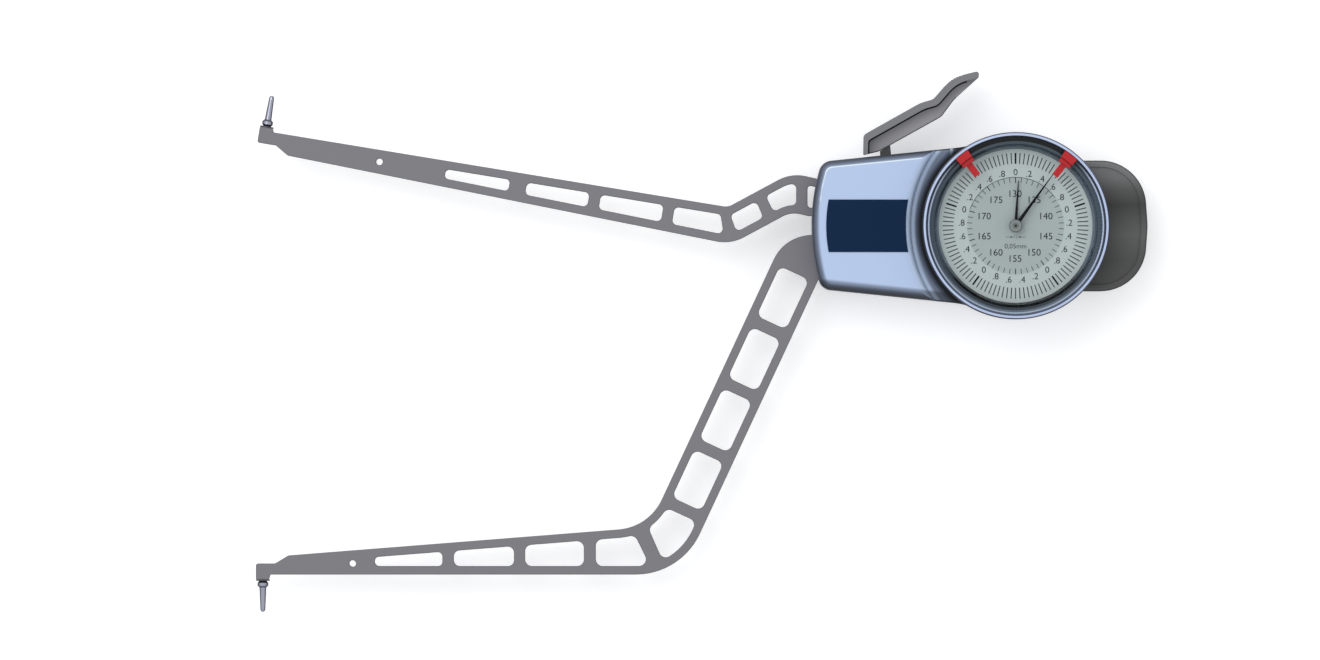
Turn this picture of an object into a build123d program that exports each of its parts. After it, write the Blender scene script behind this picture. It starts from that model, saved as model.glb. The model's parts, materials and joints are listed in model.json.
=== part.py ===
from build123d import *
import math
import os

# An inside caliper gauge with two pierced arms, a thumb lever and a dial.
# Millimetres. The gauge lies on its back: X runs from the contact pins to the
# palm rest, Y towards the thumb lever and Z out of the dial. The origin is on
# the resting face, under the dial's centre.

# Housing: outline
case_radius = 31.9
left_end = -70.9
left_bow_radius = 72.0
top_edge_inset = 2.52
bottom_edge_inset = 2.82
edge_slope = 5.9
left_corner_radius = 4.5
least_corner_radius = 0.8
case_blend_radius = 25.0
wall = 2.6

# Housing: levels above the resting face
cover_thickness = 2.0
gasket_thickness = 0.5
gasket_inset = 0.3
shoulder_level = 21.0
face_level = 24.5
front_wall = 2.5
shoulder_wall = 2.5
neck_root = 2.0

# Clearances and joins that several pieces share
bite = 0.5
hole_gap = 0.15
head_recess = 0.1
thread_gap = 0.2

# Housing: front face, its rounded edge and the hollow beside the bezel
hollow_radius = 45.0
hollow_centre_x = 8.5
face_rounding = 2.8
shoulder_rounding = 1.2
hollow_wall = 3.2
cover_rounding = 0.8
name_plate_length = 28.6
name_plate_height = 18.3
name_plate_inset = 4.9
name_plate_thickness = 0.4
name_plate_recess = 0.2
name_plate_bow = 0.85

# Case neck that carries the bezel, and the bore for the movement
neck_step = 1.7
neck_height = 5.0
neck_wall = 1.3
dial_ledge = 1.4
ledge_rise = 0.5

# Posts and their screws
post_radius = 2.8
post_bite = 0.8
left_post_inset = 13.6
right_post_inset = 0.9
cover_screw = 1.25
cover_screw_head = 2.3
cover_screw_head_height = 1.2
cover_screw_length = 7.0
case_post_inset = 2.2
case_post_angles = (0.0, 100.0, 260.0)

# Arms
pivot_x = -47.1
arm_level = 9.0
arm_thickness = 5.0
arm_rim = 2.95
hub_radius = 8.0
pivot_radius = 2.5
squeeze_angle = 13.4

# Fixed arm: the straight upper edge starts at the tip block
fixed_tip = (-263.8, 33.52)
fixed_nose = 1.2
fixed_edge_angle = -9.33
fixed_taper = 2.0
fixed_tip_depth = 4.4
fixed_boom_depth = 7.2
fixed_knee_x = -100.2
fixed_knee_radii = (4.6, 14.3)
fixed_root_angle = 28.3
fixed_root_width = 12.0
fixed_shoulder_x = -78.0
fixed_shoulder_radii = (14.0, 8.5)
fixed_end_angle = -13.0
fixed_end_width = 13.4
fixed_end_x = -56.5
fixed_end_radius = 1.0
fixed_end_low_y = 3.45
fixed_window_start = 66.5
fixed_window_lengths = (22.7, 22.1, 22.1, 15.2)
fixed_window_bars = (6.0, 4.1, 4.0)
fixed_window_skew = 18.0
fixed_window_corner = 1.6
fixed_hole_from_tip = 43.2
fixed_hole_depth = 4.15
fixed_root_windows = ((-0.05, 9.95, -8.7, -5.3), (13.6, 27.1, -2.0, -28.3))
fixed_end_window = (-72.4, -68.6)

# Moving arm: the straight lower edge starts at the tip block
moving_tip = (-265.0, -121.7)
moving_nose = 1.7
moving_taper = 4.5
moving_tip_depth = 3.85
moving_boom_depth = 6.65
moving_elbow_x = -116.6
moving_elbow_radii = (18.0, 24.7)
moving_slant = 65.0
moving_slant_width = 17.15
moving_root_y = -3.0
moving_root_angle = 7.4
moving_root_radius = 14.6
moving_heel_y = -12.0
moving_heel_radius = 4.0
moving_window_start = 41.5
moving_window_lengths = (23.6, 21.0, 20.5, 20.4)
moving_window_bars = (4.0, 3.9, 4.2)
moving_window_skew = 26.4
slant_window_start = 23.15
slant_window_lengths = (18.4, 19.5, 19.5, 19.1)
slant_window_bars = (4.1, 4.15, 4.3)
moving_window_corner = 2.4
moving_hole_from_tip = 33.8
moving_hole_height = 3.85
elbow_window_gap = 4.15
elbow_bar_from_tip = 144.2
elbow_bar_angle = 113.7

# Tip blocks and contact pins
block_width = 4.6
block_flare = 0.4
block_radii = (0.5, 0.4, 0.4, 0.7)
pin_inset = 2.4
block_shoulder = 6.6
ramp_length = 4.6
ramp_radii = (1.2, 1.5)
arm_bevel = 0.25
small_hole_radius = 1.15
pin_thread = 0.9
pin_thread_length = 3.2
pin_collar = 1.9
pin_collar_foot = 1.3
pin_collar_height = 2.9
pin_collar_bevel = 0.7
pin_foot = 1.2
pin_tip = 0.9
pin_tip_flat = 0.6
pin_tip_length = 0.9
pin_tip_bevel = 0.25
pin_length = 11.4
pin_washer_radius = 2.4
pin_washer_thickness = 0.5

# Thumb lever: a T section, bent up at its end, on a flat stem
lever_web = 4.0
lever_cap_width = 13.0
lever_cap_shift = (1.45, -2.0)
lever_heel = (-5.8, 0.2)
lever_back = (-5.7, 7.3)
lever_knuckle = (14.0, 18.35)
lever_dip = (18.5, 19.6)
lever_rise = (25.1, 27.2)
lever_end = (34.5, 29.55)
lever_nose = (34.3, 27.2)
lever_hollow = (25.7, 19.4)
lever_belly = (21.4, 13.6)
lever_seat = (-0.3, 1.5)
lever_radii = (0.4, 1.6, 12.0, 4.0, 12.0, 0.9, 0.6, 12.0, 4.0, 8.0)
serration_pitch = 0.95
serration_radius = 0.3
stem_width = 2.4
stem_lean = 4.5
stem_rise = 4.1
foot_thickness = 2.0
boot_wall = 0.55
boot_flare = 0.15
boot_height = 4.5
boot_shift = 0.2
boot_gap = 0.05

# Sector gear and pointer work
sector_thickness = 1.2
sector_teeth = 272
cannon_teeth = 10
cannon_wheel_teeth = 40
idle_pinion_teeth = 12
idle_wheel_teeth = 39
centre_teeth = 13
idle_module = 0.3
pressure_angle = 30.0
tooth_addendum = 0.85
tooth_dedendum = 1.15
tooth_backlash = 0.22
sector_first_tooth = -3
sector_last_tooth = 13
sector_end = 0.6
sector_hub_radius = 7.0
sector_hub_reach = 3.6
sector_rim = 3.0
sector_spoke_angle = 3.3
sector_window_start = 11.0
sector_window_corner = 0.8
idle_direction = 20.0
wheel_thickness = 0.8
pinion_overhang = 0.3
gear_gap = 0.5
wheel_gap = 0.3
arbor_end = 0.2
arbor_radius = 0.5
cannon_radius = 1.0
running_gap = 0.05
plate_thickness = 1.5
rear_plate_level = 10.5
front_plate_level = 18.6
rear_plate_radius = 20.5
front_plate_gap = 0.2
pillar_circle = 18.5
pillar_radius = 1.5
pillar_angles = (55.0, 105.0, 255.0, 305.0)
pillar_hole_depth = 2.5
pillar_screw_length = 3.7
small_screw = 0.8
small_screw_head = 1.4
small_screw_head_height = 1.0
movement_screw_head = 1.7
movement_screw_length = 5.0
movement_hole_depth = 4.0
arbor_bush_radius = 1.6
cannon_bush_radius = 2.2

# Dial, pointers and glass
sleeve_wall = 1.5
dial_thickness = 0.8
dial_lift = 0.7
dial_hole = 1.7
pointer_gap = 0.5
pointer_pitch = 1.2
pointer_thickness = 0.35
small_pointer_width = 1.1
large_pointer_width = 1.4
pointer_tip_width = 0.24
small_pointer_length = 15.8
large_pointer_length = 21.9
pointer_hub = 1.8
pointer_cap_radius = 2.2
pointer_cap_height = 0.7
pointer_cap_bevel = 0.25
reading = 130.5
scale_start = 130.0
large_turn = 5.0
small_turn = 50.0
crystal_inset = 0.2
crystal_thickness = 1.5
crystal_bevel = 0.3
crystal_gap = 0.1
crystal_gasket_thickness = 0.4
crystal_height = 4.0
crystal_margin = 0.2

# Bezel, from its outer edge inwards
bezel_skirt = 2.3
lip_width = 1.3
lip_depth = 0.9
step_width = 0.6
step_depth = 0.6
shelf_width = 0.4
groove_width = 1.7
groove_fall = 0.9
crystal_seat_width = 0.8
dial_seat_width = 0.4
sleeve_lift = 0.5
bezel_lift = 0.3
snap_ring_lift = 2.0
bezel_rounding = 0.55
bezel_gap = 0.1
bezel_bevel = 0.17
neck_clearance = 0.2
snap_ring_height = 0.6
snap_ring_width = 0.6
snap_groove_depth = 0.3
bezel_groove_depth = 0.4
snap_ring_split = 4.0

# Red tolerance markers
marker_half_angle = 4.8
marker_angles = (37.4, -38.0)
marker_stand = 0.4
marker_reach = 1.6
marker_step = 0.9
marker_step_run = 1.3
marker_step_slope = 0.3
marker_lift = 0.25
marker_tab_length = 5.0
marker_tab_width = 2.3
marker_tab_thickness = 0.8
marker_gap = 0.06

# Palm rest
palm_length = 14.3
palm_half_height = 22.8
palm_bow = 1.6
palm_corner_radius = 16.0
palm_bow_radius = 30.0
palm_bottom = 1.5
palm_top = 20.0
palm_gap = 0.1
palm_edge_rounding = 1.2
palm_dish_inset = 2.2
palm_dish_depth = 0.5
tongue_length = 9.1
tongue_half_width = 12.0
tongue_level = 8.0
tongue_thickness = 4.0
tongue_corner = 3.0
tongue_bite = 0.8
palm_screw_inset = 4.6
palm_screw_y = 7.5
palm_screw = 1.5
palm_screw_head = 2.75
palm_screw_head_height = 1.6
palm_counterbore = 2.6

# Pivot bearings, bridge, stops and return spring
bush_radius = 3.8
bush_gap = 0.04
bush_overhang = 0.3
bush_boss_radius = 6.0
shaft_overhang = 0.3
washer_gap = 0.05
bridge_level = 5.0
bridge_thickness = 2.0
bridge_width = 11.0
bridge_bar_width = 6.0
bridge_wall_gap = 0.2
bridge_screw_head = 1.9
bridge_screw_length = 6.5
bridge_hole_depth = 7.0
bridge_post_offset = 4.1
washer_radius = 3.4
hub_screw = 1.0
hub_screw_head = 1.7
hub_screw_head_height = 0.9
hub_screw_circle = 5.4
hub_screw_angles = (30.0, 150.0, 270.0)
hub_screw_floor = 1.0
stop_pin_radius = 1.0
stop_gap = 0.05
open_stop_reach = 14.0
closed_stop_reach = 19.5
spring_thickness = 0.45
spring_width = 1.5
spring_lift = 0.2
spring_block_reach = (11.1, 16.1)
spring_block_edges = (14.6, 20.0)
spring_block_level = 13.0
spring_slot_y = 16.4
spring_touch_reach = 9.5
spring_tip = (0.8, 1.2)
fixed_screw = 1.25
fixed_screw_head = 2.2
fixed_screw_head_height = 1.5
fixed_screw_length = 9.5
fixed_screw_places = ((-64.4, 13.2), (-64.4, 7.2), (-59.4, 9.6))

# Rubber wipers beside the arm slot
wiper_thickness = 1.2
wiper_height = 3.0
wiper_gap = 0.3
wiper_area = (-75.0, -16.0, -60.0, 2.9)
slot_gap = 0.5
slot_low_inset = 11.3
slot_high_inset = 13.5
slot_depth = 5.5

# Radii that follow from the case
neck_radius = case_radius - neck_step
movement_bore = neck_radius - neck_wall - dial_ledge
case_post_circle = movement_bore - case_post_inset
sleeve_radius = neck_radius - neck_wall - bezel_gap
dial_radius = sleeve_radius - sleeve_wall - bezel_gap
bezel_radius = neck_radius + bezel_gap + bezel_skirt
lip_inner_radius = bezel_radius - lip_width
step_radius = lip_inner_radius - step_width
groove_outer = step_radius - shelf_width
groove_inner = groove_outer - groove_width
crystal_radius = groove_inner - crystal_inset
sleeve_bore_top = crystal_radius - crystal_seat_width
sleeve_bore_bottom = dial_radius - dial_seat_width
marker_inner = groove_inner - marker_reach
palm_end_x = case_radius + palm_length
palm_start_x = case_radius / 2
tongue_end_x = case_radius + tongue_length
palm_screw_x = case_radius + palm_screw_inset

# Levels that follow from the stack
shell_base = cover_thickness + gasket_thickness
arm_top = arm_level + arm_thickness
foot_top = arm_top + foot_thickness
sector_top = foot_top + sector_thickness
block_ceiling = face_level - front_wall
low_ceiling = shoulder_level - shoulder_wall
rear_plate_top = rear_plate_level + plate_thickness
front_plate_top = front_plate_level + plate_thickness
neck_top = shoulder_level + neck_height
movement_ledge = shoulder_level + ledge_rise
bezel_foot = shoulder_level + bezel_lift
snap_ring_level = shoulder_level + snap_ring_lift
sleeve_bottom = movement_ledge + sleeve_lift
dial_level = movement_ledge + dial_lift
dial_top = dial_level + dial_thickness
small_pointer_level = dial_top + pointer_gap
large_pointer_level = small_pointer_level + pointer_pitch
crystal_seat_level = dial_top + crystal_height
crystal_level = crystal_seat_level + crystal_gasket_thickness
crystal_top = crystal_level + crystal_thickness
groove_inner_level = crystal_top + crystal_margin
groove_level = groove_inner_level + groove_fall
step_level = groove_level + step_depth
bezel_top = step_level + lip_depth
marker_top = bezel_top + marker_stand
sector_module = 2 * abs(pivot_x) / (sector_teeth + cannon_teeth)
idle_distance = idle_module * (cannon_wheel_teeth + idle_pinion_teeth) / 2
idle_wheel_level = rear_plate_top + gear_gap + pinion_overhang / 2
cannon_wheel_level = idle_wheel_level + wheel_thickness + 2 * pinion_overhang + wheel_gap
pivot = Vector(pivot_x, 0)
pivot_place = (pivot_x, 0.0)
fixed_block = (fixed_tip, fixed_edge_angle, 1, fixed_nose)
moving_block = (moving_tip, 0, -1, moving_nose)


# Helpers

def turn(angle):
    """Unit vector at an angle in degrees from +X."""
    return Vector(math.cos(math.radians(angle)), math.sin(math.radians(angle)))


def line(point, angle):
    """Endless line as a point and a direction."""
    return Vector(*point), turn(angle)


def shifted(edge, distance):
    """The same line, moved to its left by a distance."""
    point, direction = edge
    return point + Vector(-direction.Y, direction.X) * distance, direction


def meet(first, second):
    """Point where two lines cross."""
    point, along = first
    other, across = second
    gap = other - point
    reach = (gap.X * across.Y - gap.Y * across.X) / (along.X * across.Y - along.Y * across.X)
    return point + along * reach


def rounded(corners):
    """Face inside a closed outline of corners (point, radius)."""
    arcs = []
    count = len(corners)
    for index, (here, radius) in enumerate(corners):
        here = Vector(*here)
        back = (Vector(*corners[index - 1][0]) - here).normalized()
        ahead = (Vector(*corners[(index + 1) % count][0]) - here).normalized()
        half = math.radians(back.get_angle(ahead)) / 2
        reach = radius / math.tan(half)
        middle = here + (back + ahead).normalized() * (radius / math.sin(half) - radius)
        arcs.append((here + back * reach, middle, here + ahead * reach, radius))
    edges = []
    for index, (start, middle, end, radius) in enumerate(arcs):
        following = arcs[(index + 1) % count][0]
        if radius > 0:
            edges.append(ThreePointArc(start, middle, end))
        if (following - end).length > 1e-6:
            edges.append(Line(end, following))
    return make_face(edges)


def prism(face, bottom, top):
    """Face in the ground plane, carried from one level to another."""
    return Pos(0, 0, bottom) * extrude(face, top - bottom)


def disc(place, radius, bottom, top):
    """Upright cylinder between two levels."""
    return prism(Pos(place[0], place[1]) * Circle(radius), bottom, top)


def ring(place, outer, inner, bottom, top):
    """Upright tube between two levels."""
    return disc(place, outer, bottom, top) - disc(place, inner, bottom, top)


def turned(profile):
    """Solid of revolution about the dial's axis from (radius, level) corners."""
    return revolve(Plane.XZ * make_face(Polyline(*profile, close=True)), Axis.Z)


def polar(circle, angle, centre=(0.0, 0.0)):
    """Point on a circle at an angle."""
    return centre[0] + circle * turn(angle).X, centre[1] + circle * turn(angle).Y


def screw(place, seat, shank, length, head, head_height, up=True):
    """Screw with a round head on its seat, its shank pointing away from the head."""
    sign = 1 if up else -1
    levels = sorted((seat, seat + sign * head_height))
    body = disc(place, head, *levels)
    levels = sorted((seat, seat - sign * length))
    return body + disc(place, shank, *levels)


def box_between(low, high):
    """Block between its lowest and its highest corner."""
    size = [high[i] - low[i] for i in range(3)]
    centre = [(high[i] + low[i]) / 2 for i in range(3)]
    return Pos(*centre) * Box(*size)


def area(left, low, right, high):
    """Rectangle in the ground plane between its four edges."""
    return make_face(Polyline((left, low), (right, low), (right, high), (left, high), close=True))


def strip(points, thickness):
    """Band of one thickness along a bent line."""
    path = [Vector(*point) for point in points]
    headings = [(after - before).normalized() for before, after in zip(path, path[1:])]
    outline = []
    for side in (1, -1):
        edges = [shifted(edge, side * thickness / 2) for edge in zip(path, headings)]
        bends = [meet(first, second) for first, second in zip(edges, edges[1:])]
        end = edges[-1][0] + path[-1] - path[-2]
        outline += ([edges[0][0]] + bends + [end])[::side]
    return make_face(Polyline(*outline, close=True))


def bar_between(start, end, width):
    """Straight bar in the ground plane between two points."""
    reach = end - start
    middle = start + reach * 0.5
    heading = math.degrees(math.atan2(reach.Y, reach.X))
    return Pos(middle.X, middle.Y) * Rot(0, 0, heading) * Rectangle(reach.length, width)


def pierced(face, rim, strips, corner, share=0.9):
    """Windows with rounded corners that leave a rim along a face, one in each strip."""
    inside = offset(face, -rim, kind=Kind.INTERSECTION)
    windows = []
    for strip in strips:
        for cell in (inside & strip).faces():
            length = sum(edge.length for edge in cell.outer_wire().edges())
            radius = min(corner, share * cell.area / length)
            core = offset(cell, -radius, kind=Kind.INTERSECTION)
            windows.append(offset(core, radius, kind=Kind.ARC))
    return windows


def cross_strip(edge, start, end, skew=(0.0, 0.0)):
    """Strip across a boom, between two distances along one of its edges."""
    point, direction = edge
    across = math.degrees(math.atan2(direction.Y, direction.X)) + 90
    near = line(point + direction * start, across + skew[0])
    far = line(point + direction * end, across + skew[1])
    reach = 2 * moving_slant_width
    corners = [near[0] - near[1] * reach, far[0] - far[1] * reach]
    corners += [far[0] + far[1] * reach, near[0] + near[1] * reach]
    return make_face(Polyline(*corners, close=True))


# Gear teeth

def involute(angle):
    """Involute of an angle in radians."""
    return math.tan(angle) - angle


def tooth_half_angle(radius, teeth, module):
    """Half of a tooth's angle at a radius, for an involute flank with backlash."""
    pitch = teeth * module / 2
    slope = math.radians(pressure_angle)
    at_radius = math.acos(min(1.0, pitch * math.cos(slope) / radius))
    width = (math.pi / 2 - tooth_backlash) * module
    return width / (2 * pitch) + involute(slope) - involute(at_radius)


def tooth_points(teeth, module, angle):
    """Six points round one tooth: root, pitch line and tip, up and down again."""
    pitch = teeth * module / 2
    radii = (pitch - tooth_dedendum * module, pitch, pitch + tooth_addendum * module)
    middle = math.radians(angle)
    rising = [(radius, middle - tooth_half_angle(radius, teeth, module)) for radius in radii]
    falling = [(radius, middle + tooth_half_angle(radius, teeth, module)) for radius in reversed(radii)]
    return [(radius * math.cos(at), radius * math.sin(at)) for radius, at in rising + falling]


def gear(teeth, module, phase, centre, bottom, top):
    """Spur gear whose first tooth points along the phase angle."""
    points = []
    for index in range(teeth):
        points += tooth_points(teeth, module, phase + 360.0 * index / teeth)
    face = Pos(*centre) * make_face(Polyline(*points, close=True))
    return prism(face, bottom, top)


# Housing

def edge_line(top, inset=0.0):
    """Upper or lower edge of the housing block, moved inwards by an inset."""
    if top:
        return shifted(line((0, case_radius - top_edge_inset), edge_slope), -inset)
    return shifted(line((0, bottom_edge_inset - case_radius), -edge_slope), inset)


def edge_point(top, x, inset=0.0):
    """Point of the block's upper or lower edge at a place along it."""
    return meet(edge_line(top, inset), line((x, 0), 90))


def block_outline(inset=0.0):
    """Tapered block with a bowed left end, up to the dial's axis."""
    before = left_end - wall
    wedge = make_face(Polyline(edge_point(True, before, inset), edge_point(True, 0, inset),
                               edge_point(False, 0, inset), edge_point(False, before, inset), close=True))
    centre = (left_end + left_bow_radius, (bottom_edge_inset - top_edge_inset) / 2)
    bowed = wedge & (Pos(*centre) * Circle(left_bow_radius - inset))
    corners = [vertex for vertex in bowed.vertices() if vertex.X < left_end / 2]
    return fillet(corners, max(left_corner_radius - inset, least_corner_radius))


def housing_outline(inset=0.0):
    """Block and round case in one outline."""
    joined = block_outline(inset) + Circle(case_radius - inset)
    valleys = [vertex for vertex in joined.vertices() if -case_radius < vertex.X < 0]
    return fillet(valleys, case_blend_radius + inset)


def post_places():
    """Centres of the four posts for the rear cover in the block."""
    reach = wall + post_radius - post_bite
    columns = (left_end + left_post_inset, right_post_inset - case_radius)
    points = [edge_point(top, x, reach) for top in (True, False) for x in columns]
    return [(point.X, point.Y) for point in points]


def cover_screw_places():
    """Centres of the rear cover's screws."""
    return post_places() + [polar(case_post_circle, angle) for angle in case_post_angles]


def bridge_places():
    """Centres of the bridge's two posts."""
    reach = wall + post_radius - post_bite
    high = edge_point(True, pivot_x - bridge_post_offset, reach)
    low = edge_point(False, pivot_x, reach)
    return [(high.X, high.Y), (low.X, low.Y)]


def face_bound(inset=0.0):
    """Round hollow that ends the front face beside the bezel."""
    return Pos(hollow_centre_x, 0) * Circle(hollow_radius + inset)


def outer_shell():
    """Housing with its raised front face, before it is hollowed."""
    low = prism(housing_outline(), shell_base, shoulder_level)
    rim = low.edges().filter_by_position(Axis.Z, shoulder_level, shoulder_level)
    low = fillet(rim, shoulder_rounding)
    raised = prism(block_outline() - face_bound(), shell_base, face_level)
    rim = raised.edges().filter_by_position(Axis.Z, face_level, face_level)
    raised = fillet(rim, face_rounding)
    return low + raised + disc((0, 0), neck_radius, shoulder_level - neck_root, neck_top)


def shell_cavity():
    """Room inside the block and the bore for the movement."""
    inner = block_outline(wall) + Circle(movement_bore)
    cavity = prism(inner, shell_base, low_ceiling)
    high = block_outline(wall) - face_bound(hollow_wall)
    cavity += prism(high, low_ceiling, block_ceiling)
    cavity += disc((0, 0), movement_bore, low_ceiling, movement_ledge)
    cavity += disc((0, 0), neck_radius - neck_wall, movement_ledge, neck_top)
    return cavity


def fixed_pad():
    """Pad on the front wall that the fixed arm is screwed to."""
    root = area(left_end, fixed_end_low_y, fixed_end_x, case_radius)
    pad = fixed_arm_face() & root & block_outline(wall - bite)
    return prism(pad, arm_top, block_ceiling + bite)


def stem_line(angle=0.0):
    """Centre line of the lever's stem at a squeeze angle."""
    return pivot, turn(90 - stem_lean - angle)


def stop_places():
    """Centres of the open and closed stop pins beside the stem."""
    reach = stem_width / 2 + stop_pin_radius + stop_gap
    _, opened = stem_line()
    _, closed = stem_line(squeeze_angle)
    left = pivot + opened * open_stop_reach + Vector(-opened.Y, opened.X) * reach
    right = pivot + closed * closed_stop_reach + Vector(closed.Y, -closed.X) * reach
    return [(left.X, left.Y), (right.X, right.Y)]


def stem_slot():
    """Slot in the top wall for the stem's swing."""
    level = edge_line(True, wall / 2)
    opened = meet(level, stem_line()).X - stem_width / 2 - slot_gap
    closed = meet(level, stem_line(squeeze_angle)).X + stem_width / 2 + 2 * slot_gap
    height = edge_point(True, pivot_x).Y
    return box_between((opened, height - 2 * wall, arm_top - slot_gap),
                       (closed, height + 2 * wall, foot_top + slot_gap))


def shell_posts():
    """Posts for the screws, and the boss of the front pivot bush."""
    bridge_top = bridge_level + bridge_thickness
    posts = [disc(place, post_radius, shell_base, low_ceiling + bite) for place in post_places()]
    posts += [disc(place, post_radius, bridge_top, low_ceiling + bite) for place in bridge_places()]
    left = [place for place in post_places() if place[0] < pivot_x] + bridge_places()[:1]
    posts += [disc(place, post_radius, low_ceiling, block_ceiling + bite) for place in left]
    for angle in case_post_angles:
        post = disc(polar(case_post_circle, angle), post_radius, shell_base, front_plate_level)
        posts.append(post & disc((0, 0), case_radius - wall / 2, shell_base, front_plate_level))
    posts.append(disc(pivot_place, bush_boss_radius, front_plate_level, block_ceiling + bite))
    return posts


def housing_shell():
    """Shell of the block and the case, with its posts, slots and holes."""
    shell = outer_shell() - shell_cavity()
    for post in shell_posts():
        shell += post
    shell = shell + fixed_pad() + spring_block() + tongue()
    shell -= box_between((left_end - bite, slot_low_inset - case_radius, arm_level - slot_gap),
                         (left_end + slot_depth, case_radius - slot_high_inset, arm_top + slot_gap))
    shell -= stem_slot()
    for cut in shell_holes():
        shell -= cut
    return shell


def spring_block():
    """Slotted block under the front wall that holds the end of the return spring."""
    left, right = [pivot_x + reach for reach in spring_block_reach]
    low, high = spring_block_edges
    block = box_between((left, low, spring_block_level), (right, high, low_ceiling + bite))
    half = spring_thickness / 2
    return block - box_between((left, spring_slot_y - half, spring_block_level),
                               (right, spring_slot_y + half, arm_top + spring_lift + spring_width))


def tongue():
    """Flat tongue on the round case, held inside the palm rest."""
    plate = box_between((0, -tongue_half_width, tongue_level),
                        (tongue_end_x, tongue_half_width, tongue_level + tongue_thickness))
    plate = fillet(plate.edges().filter_by(Axis.Z).group_by(Axis.X)[-1], tongue_corner)
    return plate - disc((0, 0), case_radius - tongue_bite, 0, face_level)


def shell_holes():
    """Threaded holes, the bush seat, the stop pin holes and the plate recess."""
    depth = shell_base + cover_screw_length - cover_thickness
    holes = [disc(place, cover_screw, shell_base, depth) for place in cover_screw_places()]
    holes += [disc(place, cover_screw, bridge_level, bridge_level + bridge_hole_depth)
              for place in bridge_places()]
    holes += [disc(polar(case_post_circle, angle), small_screw, front_plate_level - movement_hole_depth,
                   front_plate_level) for angle in case_post_angles]
    holes.append(disc(pivot_place, bush_radius, front_plate_level - bite, block_ceiling + bite))
    holes += stop_pins()
    holes += [disc(place, fixed_screw, arm_top, arm_level + fixed_screw_length + thread_gap)
              for place in fixed_screw_places]
    holes += [disc((palm_screw_x, side * palm_screw_y), palm_screw, tongue_level,
                   tongue_level + tongue_thickness) for side in (-1, 1)]
    holes.append(prism(name_plate_face(), face_level - name_plate_recess, face_level))
    groove = (snap_ring_level - bezel_gap, snap_ring_level + snap_ring_height + bezel_gap)
    holes.append(ring((0, 0), neck_radius + bite, neck_radius - snap_groove_depth, *groove))
    return holes


def name_plate_face():
    """Bare plate with a bowed left and a hollow right edge."""
    half = name_plate_height / 2
    left = left_end + name_plate_inset
    right = left + name_plate_length
    bow = name_plate_bow
    edges = [Line((left + bow, half), (right, half)),
             ThreePointArc((right, half), (right - bow, 0), (right, -half)),
             Line((right, -half), (left + bow, -half)),
             ThreePointArc((left + bow, -half), (left, 0), (left + bow, half))]
    return make_face(edges)


def name_plate():
    """Bare plate in the front face's recess."""
    base = face_level - name_plate_recess
    return prism(name_plate_face(), base, base + name_plate_thickness)


def rear_cover():
    """Cover on the back, with countersunk holes for its screws."""
    cover = prism(housing_outline(), 0, cover_thickness)
    cover = fillet(cover.edges().filter_by_position(Axis.Z, 0, 0), cover_rounding)
    for place in cover_screw_places():
        cover -= disc(place, cover_screw + hole_gap, 0, cover_thickness)
        cover -= disc(place, cover_screw_head + hole_gap, 0, cover_screw_head_height + head_recess)
    return cover


def rear_cover_gasket():
    """Sheet gasket between the cover and the shell."""
    sheet = housing_outline(gasket_inset) - block_outline(wall - gasket_inset)
    sheet -= Circle(movement_bore + gasket_inset)
    for place in cover_screw_places():
        sheet += Pos(*place) * Circle(post_radius)
    for place in cover_screw_places():
        sheet -= Pos(*place) * Circle(cover_screw + hole_gap)
    return prism(sheet, cover_thickness, shell_base)


def rear_cover_screws():
    """Screws of the rear cover."""
    seat = cover_screw_head_height + head_recess
    length = cover_screw_length - seat - thread_gap
    return [screw(place, seat, cover_screw, length, cover_screw_head, cover_screw_head_height, up=False)
            for place in cover_screw_places()]


def palm_outline(inset=0.0):
    """Rounded end plate behind the bezel, slightly bowed at its far side."""
    half = palm_half_height - inset
    corner = palm_end_x - palm_bow - inset
    radius = palm_corner_radius - inset
    far = ((palm_end_x - inset, 0), palm_bow_radius)
    return rounded([((palm_start_x, half), 0), ((corner, half), radius), far,
                    ((corner, -half), radius), ((palm_start_x, -half), 0)])


def palm_rest():
    """Moulded rest on the tongue, with a dished face and counterbored holes."""
    rest = prism(palm_outline(), palm_bottom, palm_top)
    rims = rest.edges().filter_by_position(Axis.Z, palm_top, palm_top)
    rims += rest.edges().filter_by_position(Axis.Z, palm_bottom, palm_bottom)
    rest = fillet([edge for edge in rims if edge.center().X > palm_start_x + bite], palm_edge_rounding)
    rest -= prism(palm_outline(palm_dish_inset), palm_top - palm_dish_depth, palm_top)
    rest -= disc((0, 0), case_radius + palm_gap, 0, face_level)
    rest -= box_between((0, -tongue_half_width, tongue_level),
                        (tongue_end_x + palm_gap, tongue_half_width, tongue_level + tongue_thickness))
    for side in (-1, 1):
        place = (palm_screw_x, side * palm_screw_y)
        rest -= disc(place, palm_screw + hole_gap, 0, tongue_level)
        rest -= disc(place, palm_screw_head + hole_gap, 0, palm_bottom + palm_counterbore)
    return rest


def palm_rest_screws():
    """Screws that hold the palm rest on the tongue."""
    seat = palm_bottom + palm_counterbore
    length = tongue_level + tongue_thickness - seat - thread_gap
    return [screw((palm_screw_x, side * palm_screw_y), seat, palm_screw, length, palm_screw_head,
                  palm_screw_head_height, up=False) for side in (-1, 1)]


def arm_slot_wipers():
    """Two rubber strips inside the left wall, above and below the arms."""
    band = (block_outline(wall) - block_outline(wall + wiper_thickness)) & area(*wiper_area)
    below = arm_level - wiper_gap
    above = arm_top + wiper_gap
    return [prism(band, below - wiper_height, below), prism(band, above, above + wiper_height)]


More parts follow.
